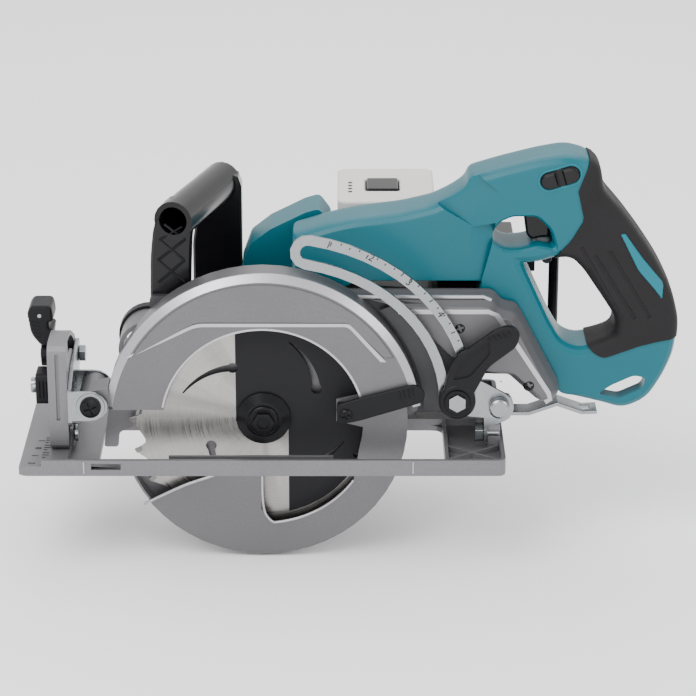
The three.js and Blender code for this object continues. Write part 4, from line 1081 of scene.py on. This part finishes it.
def make_housing(sizes):
    low, high = span("left_housing")[0].y, span("right_housing")[1].y
    middle = (low + high) / 2
    body = whole_body("body_whole", low, high, sizes.mould_edge, 0.0, 0.0)
    # Two flat facets slope away from creases in the near face.
    shave(body, "front_facet", [(119, 172), (142.5, 158), (161, 181), (143, 196), (130, 190)],
        (142.5, low, 158), (-0.22, 0.175))
    shave(body, "throat_facet", [(141.5, 157), (143, 121), (149, 118), (156, 145), (158, 160)],
        (142, low, 140), (0.34, 0.02))
    slot_tool = slab("strap_slot", rounded([(231, 35), (240, 41.5), (256, 49), (264, 47), (262, 39.5),
        (246, 32)], 0, 3), low - 1, high + 1)
    cut(body, slot_tool)
    loop_room = slab("loop_room", rounded([(222, 10), (236, 36), (258, 50), (300, 66), (300, 10)], 0, 2),
        low + 12, high + 1)
    cut(body, loop_room)
    trigger_room = slab("trigger_room", [(173, 158), (180, 146), (188, 141.5), (203, 140), (205, 182),
        (173, 182)], middle - 10.5, middle + 10.5)
    cut(body, trigger_room)
    board_room = slab("board_room", rounded([(40, 128), (132, 128), (132, 150), (40, 150)], 0, 3),
        middle - 4, middle + 4)
    cut(body, board_room)
    screw_places = ((70, 128), (136, 128), (196, 122), (214, 56), (262, 64), (222, 198))
    for x, z in screw_places:
        cut(body, rod("screw_well", at(x, high - 4, z), at(x, high + 2, z), 4.2, 24))
    mount(soften(half(body, "left_body", middle, True), 0.35, 2, 22), "body", "teal", "left_housing")
    mount(soften(half(body, "right_body", middle, False), 0.35, 2, 22), "body", "teal", "right_housing")
    bpy.data.objects.remove(body)
    screws = [rod("body_screw", at(x, high - 4.5, z), at(x, high - 2.4, z), 3.6, 24)
        for x, z in screw_places]
    mount(soften(gather(*screws), 0.5), "body", "oxide")


def shave(body, name, corners, hinge, slopes):
    """Cuts a sloping face into the near side. It deepens from the hinge by the slopes along x and z."""
    tool = slab(name, [corner[:2] for corner in corners], hinge[1] - 12, hinge[1])
    for vertex in tool.data.vertices:
        if vertex.co.y > at(0, hinge[1] - 6, 0).y:
            x = (vertex.co.x - ARBOR.x) / MM - hinge[0]
            z = (vertex.co.z - SOLE_Z) / MM - hinge[2]
            vertex.co.y += (x * slopes[0] + z * slopes[1]) * MM
    cut(body, tool)


def grip_outline():
    """The rubber's border on the near side. Its outer edge runs clear of the handle."""
    return [(230, 220), (221.5, 204), (213.5, 182), (218, 162, 3), (209.5, 147, 3), (203, 140), (196, 128),
        (206, 110), (216, 84), (219, 76, 3), (226, 66.5, 4), (234, 61.5, 4), (258, 70.5, 2), (270, 73.8, 2),
        (284, 76.5), (300, 77), (300, 220)]


def make_grip(sizes):
    low, high = span("left_grip")[0].y, span("right_grip")[1].y
    middle = (low + high) / 2
    skin = whole_body("grip_skin", low - 0.9, high + 0.9, sizes.mould_edge + 0.4, -0.9, 0.9)
    border = slab("grip_border", rounded(grip_outline(), 0, 0, 4), low - 3, high + 3)
    apply(skin, "BOOLEAN", operation="INTERSECT", object=border, solver="EXACT")
    bpy.data.objects.remove(border)
    lines = (((226, 137), (255, 91)), ((236, 140), (265, 92)), ((216.5, 143), (246, 91)),
        ((245, 132), (268, 96)))
    grooves = []
    for (ax, az), (bx, bz) in lines[:sizes.grip_grooves]:
        for y in (low - 1.9, high + 1.9):
            grooves.append(rod("groove", at(ax, y, az), at(bx, y, bz), 1.7, 16))
    cut(skin, *grooves)
    for node, side in (("left_grip", True), ("right_grip", False)):
        mount(soften(half(skin, node + "_finished", middle, side), 0.4, 2, 32), "body", "rubber", node)
    bpy.data.objects.remove(skin)
    # The grip inserts wear the teal painted highlight finish, a lit copy of the body teal.
    sliver = [(243, 152, 1), (246, 153, 2), (258, 136, 3), (273.5, 117, 3), (273, 105, 2), (268, 112, 3),
        (256, 126, 3)]
    inserts = []
    for near, far in ((low - 1.9, low + 4), (high - 4, high + 1.9)):
        inserts.append(pillow("grip_insert", sliver, near, far, (0.9, 0.9), 2))
    mount(soften(gather(*inserts), 0.2), "body", "teal_edge")


def make_controls(sizes):
    low, high = span("trigger")
    near, far = low.y, high.y
    lever = pillow("trigger_lever", [(low.x, high.z + 4, 1), (low.x + 1.5, 155, 3), (low.x + 2.6, 147, 3),
        (183.5, low.z, 3), (190, 145.5, 3), (high.x, low.z + 2, 2), (high.x + 1, high.z + 4, 1)], near, far,
        (2.4, 3.4), 4)
    mount(soften(lever, 0.2), "trigger", "black", "trigger")
    low, high = span("lock_off_button")
    x, z = centre_of("lock_off_button")
    layers = [(inset, low.y + depth) for inset, depth in ((2.6, -0.8), (1.2, -0.3), (0.2, 1.2), (0, 2.5))]
    layers += [(inset, low.y + high.y - depth) for inset, depth in reversed(layers)]
    button = loft("lock_button", [(stadium(x, z, 28, 12.6, BUTTON_TILT, inset), depth)
        for inset, depth in layers])
    turn = math.radians(BUTTON_TILT)
    dx, dz = 9 * math.sin(turn), 9 * math.cos(turn)
    waist = [rod("waist", at(x + dx, side, z - dz), at(x - dx, side, z + dz), 3.6, 40)
        for side in (low.y - 2.2, high.y + 2.2)]
    cut(button, *waist)
    mount(soften(button, 0.25, 2, 35), "lock_off", "black", "lock_off_button")
    # The lock-off frames wear the teal painted highlight finish, a lit copy of the body teal.
    frames = []
    for near, far in ((21.6, 23.2), (60.8, 62.4)):
        ring = slab("lock_frame", stadium(x, z, 30.6, 15.2, BUTTON_TILT), near, far)
        hole = slab("hole", stadium(x, z, 28.4, 13.0, BUTTON_TILT), near - 1, far + 1)
        frames.append(cut(ring, hole))
    mount(soften(gather(*frames), 0.3), "body", "teal_edge")
    mount_refined("switch_unit", "black", 0.4)
    mount_refined("control_board", "board", 0.1)


# --- front handle


def make_front_handle(sizes):
    mount_refined("front_handle", "black", 0.9, 3, 24)
    ribs = []
    near = 13.2
    for (ax, az), (bx, bz) in (((-71, 120), (-53, 136)), ((-53, 120), (-71, 136)), ((-71, 136), (-52, 151)),
            ((-53, 136), (-70, 151)), ((-69, 151), (-54, 160)), ((-53, 151), (-66, 162))):
        ribs.append(rod("leg_rib", at(ax, near + 0.9, az), at(bx, near + 0.9, bz), 0.9, 8))
    mount(gather(*ribs), "body", "black")


# --- motor and battery


def make_motor(sizes):
    mount_refined("motor_housing", "teal", 1.6, 3)
    mount_refined("motor_cap", "black", 1.2, 3)
    for node, finish in (("stator", "copper"), ("rotor", "oxide"), ("cooling_fan", "black"),
            ("motor_shaft", "ground")):
        mount_refined(node, finish, 0.15)


def make_battery(sizes):
    mount_refined("battery_mount", "black", 1.2, 3)
    mount_refined("battery_latch", "black", 1.0, 3)
    low, high = span("battery_pack")
    mount_refined("battery_pack", "pale", 2.2, 4)
    bands = []
    for step in range(6):
        z = low.z + 24 + step * 12
        ends = at(low.x - 0.1, low.y + 14, z), at(low.x - 0.1, high.y - 14, z)
        bands.append(rod("pack_rib", *ends, 1.1, 10))
    mount(gather(*bands), "battery", "pale")
    leds = []
    for step in range(4):
        y = low.y + 22 + step * 7
        ends = at(low.x + 9, y, high.z - 0.4), at(low.x + 9, y, high.z + 0.3)
        leds.append(rod("charge_lamp", *ends, 1.6, 20))
    mount(soften(gather(*leds), 0.2), "battery", "ink")


# --- hook and tether


def make_hook(sizes):
    low, high = span("hook")
    y = (low.y + high.y) / 2
    radius = (high.y - low.y) / 2 - 0.15
    post = low.x + radius + 0.15
    mount_refined("hook", "oxide", 0.8, 3)
    for node in ("hook_seat_upper", "hook_seat_lower"):
        mount_refined(node, "matt_black", 1.2, 3)
    mount_refined("tether_bracket", "plated", 0.5, 3)
    collars = [rod("hook_collar", at(post, y, z), at(post, y, z + 2), radius + 1.4, 32)
        for z in (94.3, 72.0)]
    mount(soften(gather(*collars), 0.4), "hook", "plated")
    low, _ = span("tether_bracket")
    x = low.x + 8
    bolt = rod("strip_bolt", at(x, 38, low.z - 1.6), at(x, 38, low.z + 0.4), 3.6, 24)
    mount(soften(bolt, 0.5), "body", "oxide")


# --- operators


class SawPiece:
    """What every operator here shares. Each one calls its functions with the sizes."""

    bl_options = {"REGISTER", "UNDO"}
    makes = ()

    @classmethod
    def poll(cls, context):
        return context.mode == "OBJECT"

    def execute(self, context):
        for make in self.makes:
            make(context.scene.saw_sizes)
        return {"FINISHED"}


class SAW_OT_stage(SawPiece, bpy.types.Operator):
    """Sets up the camera, the floor and the lights"""
    bl_idname = "saw.stage"
    bl_label = "Stage"

    def execute(self, context):
        make_stage(context.scene.saw_stage)
        return {"FINISHED"}


class SAW_OT_sole(SawPiece, bpy.types.Operator):
    """Builds the sole plate with its scales, the bevel quadrant and the bevel stop"""
    bl_idname = "saw.sole"
    bl_label = "Sole"
    makes = (make_sole,)


class SAW_OT_tilting_frame(SawPiece, bpy.types.Operator):
    """Builds the tilting brackets, their bolts and the bevel lever"""
    bl_idname = "saw.tilting_frame"
    bl_label = "Tilting frame"
    makes = (make_tilting_frame,)


class SAW_OT_depth_guide(SawPiece, bpy.types.Operator):
    """Builds the depth guide with its scale, the clamping bolt and the depth lever"""
    bl_idname = "saw.depth_guide"
    bl_label = "Depth guide"
    makes = (make_depth_guide,)


class SAW_OT_blade_case(SawPiece, bpy.types.Operator):
    """Builds the upper blade case and its chip port"""
    bl_idname = "saw.blade_case"
    bl_label = "Blade case"
    makes = (make_blade_case,)


class SAW_OT_lower_guard(SawPiece, bpy.types.Operator):
    """Builds the lower guard and its thumb lever"""
    bl_idname = "saw.lower_guard"
    bl_label = "Lower guard"
    makes = (make_lower_guard,)


class SAW_OT_blade(SawPiece, bpy.types.Operator):
    """Builds the blade with its teeth, the flanges, the arbor bolt and the drive"""
    bl_idname = "saw.blade"
    bl_label = "Blade and arbor"
    makes = (make_blade, make_arbor)


class SAW_OT_gear_case(SawPiece, bpy.types.Operator):
    """Builds the gear case, its cover and the shaft lock"""
    bl_idname = "saw.gear_case"
    bl_label = "Gear case"
    makes = (make_gear_case,)


class SAW_OT_housing(SawPiece, bpy.types.Operator):
    """Builds both halves of the moulded body and rear handle"""
    bl_idname = "saw.housing"
    bl_label = "Housing"
    makes = (make_housing,)


class SAW_OT_grip(SawPiece, bpy.types.Operator):
    """Builds the rubber skin of the rear handle"""
    bl_idname = "saw.grip"
    bl_label = "Grip"
    makes = (make_grip,)


class SAW_OT_controls(SawPiece, bpy.types.Operator):
    """Builds the trigger, the lock-off button, the switch and the board"""
    bl_idname = "saw.controls"
    bl_label = "Controls"
    makes = (make_controls,)


class SAW_OT_front_handle(SawPiece, bpy.types.Operator):
    """Builds the front handle with its ribbed leg"""
    bl_idname = "saw.front_handle"
    bl_label = "Front handle"
    makes = (make_front_handle,)


class SAW_OT_motor(SawPiece, bpy.types.Operator):
    """Builds the motor, its housing and the vented cap"""
    bl_idname = "saw.motor"
    bl_label = "Motor"
    makes = (make_motor,)


class SAW_OT_battery(SawPiece, bpy.types.Operator):
    """Builds the battery pack, its latch and its mount"""
    bl_idname = "saw.battery"
    bl_label = "Battery"
    makes = (make_battery,)


class SAW_OT_hook(SawPiece, bpy.types.Operator):
    """Builds the hanging hook, its seats and the tether strip"""
    bl_idname = "saw.hook"
    bl_label = "Hook and tether"
    makes = (make_hook,)


class SAW_PT_panel(bpy.types.Panel):
    """Lists the saw's pieces and their settings"""
    bl_idname = "SAW_PT_panel"
    bl_label = "Circular Saw"
    bl_space_type = "VIEW_3D"
    bl_region_type = "UI"
    bl_category = "Saw"

    def draw(self, context):
        for title, group in (("Finishes", context.scene.saw_finishes), ("Sizes", context.scene.saw_sizes),
                ("Stage", context.scene.saw_stage)):
            box = self.layout.box()
            box.label(text=title)
            for name in group.__annotations__:
                box.prop(group, name)
        column = self.layout.column(align=True)
        for operator in OPERATORS:
            column.operator(operator.bl_idname)


GROUPS = (("saw_finishes", SawFinishes), ("saw_sizes", SawSizes), ("saw_stage", SawStage))
OPERATORS = (
    SAW_OT_stage, SAW_OT_sole, SAW_OT_tilting_frame, SAW_OT_depth_guide, SAW_OT_blade_case,
    SAW_OT_lower_guard, SAW_OT_blade, SAW_OT_gear_case, SAW_OT_housing, SAW_OT_grip, SAW_OT_controls,
    SAW_OT_front_handle, SAW_OT_motor, SAW_OT_battery, SAW_OT_hook,
)


def register():
    for _, group in GROUPS:
        bpy.utils.register_class(group)
    for operator in OPERATORS:
        bpy.utils.register_class(operator)
    bpy.utils.register_class(SAW_PT_panel)
    for name, group in GROUPS:
        setattr(bpy.types.Scene, name, PointerProperty(type=group))


def unregister():
    for name, _ in GROUPS:
        delattr(bpy.types.Scene, name)
    bpy.utils.unregister_class(SAW_PT_panel)
    for operator in reversed(OPERATORS):
        bpy.utils.unregister_class(operator)
    for _, group in reversed(GROUPS):
        bpy.utils.unregister_class(group)


def main():
    register()
    bpy.ops.saw.stage()
    bpy.ops.saw.sole()
    bpy.ops.saw.tilting_frame()
    bpy.ops.saw.depth_guide()
    bpy.ops.saw.blade_case()
    bpy.ops.saw.lower_guard()
    bpy.ops.saw.blade()
    bpy.ops.saw.gear_case()
    bpy.ops.saw.housing()
    bpy.ops.saw.grip()
    bpy.ops.saw.controls()
    bpy.ops.saw.front_handle()
    bpy.ops.saw.motor()
    bpy.ops.saw.battery()
    bpy.ops.saw.hook()


if __name__ == "__main__":
    main()
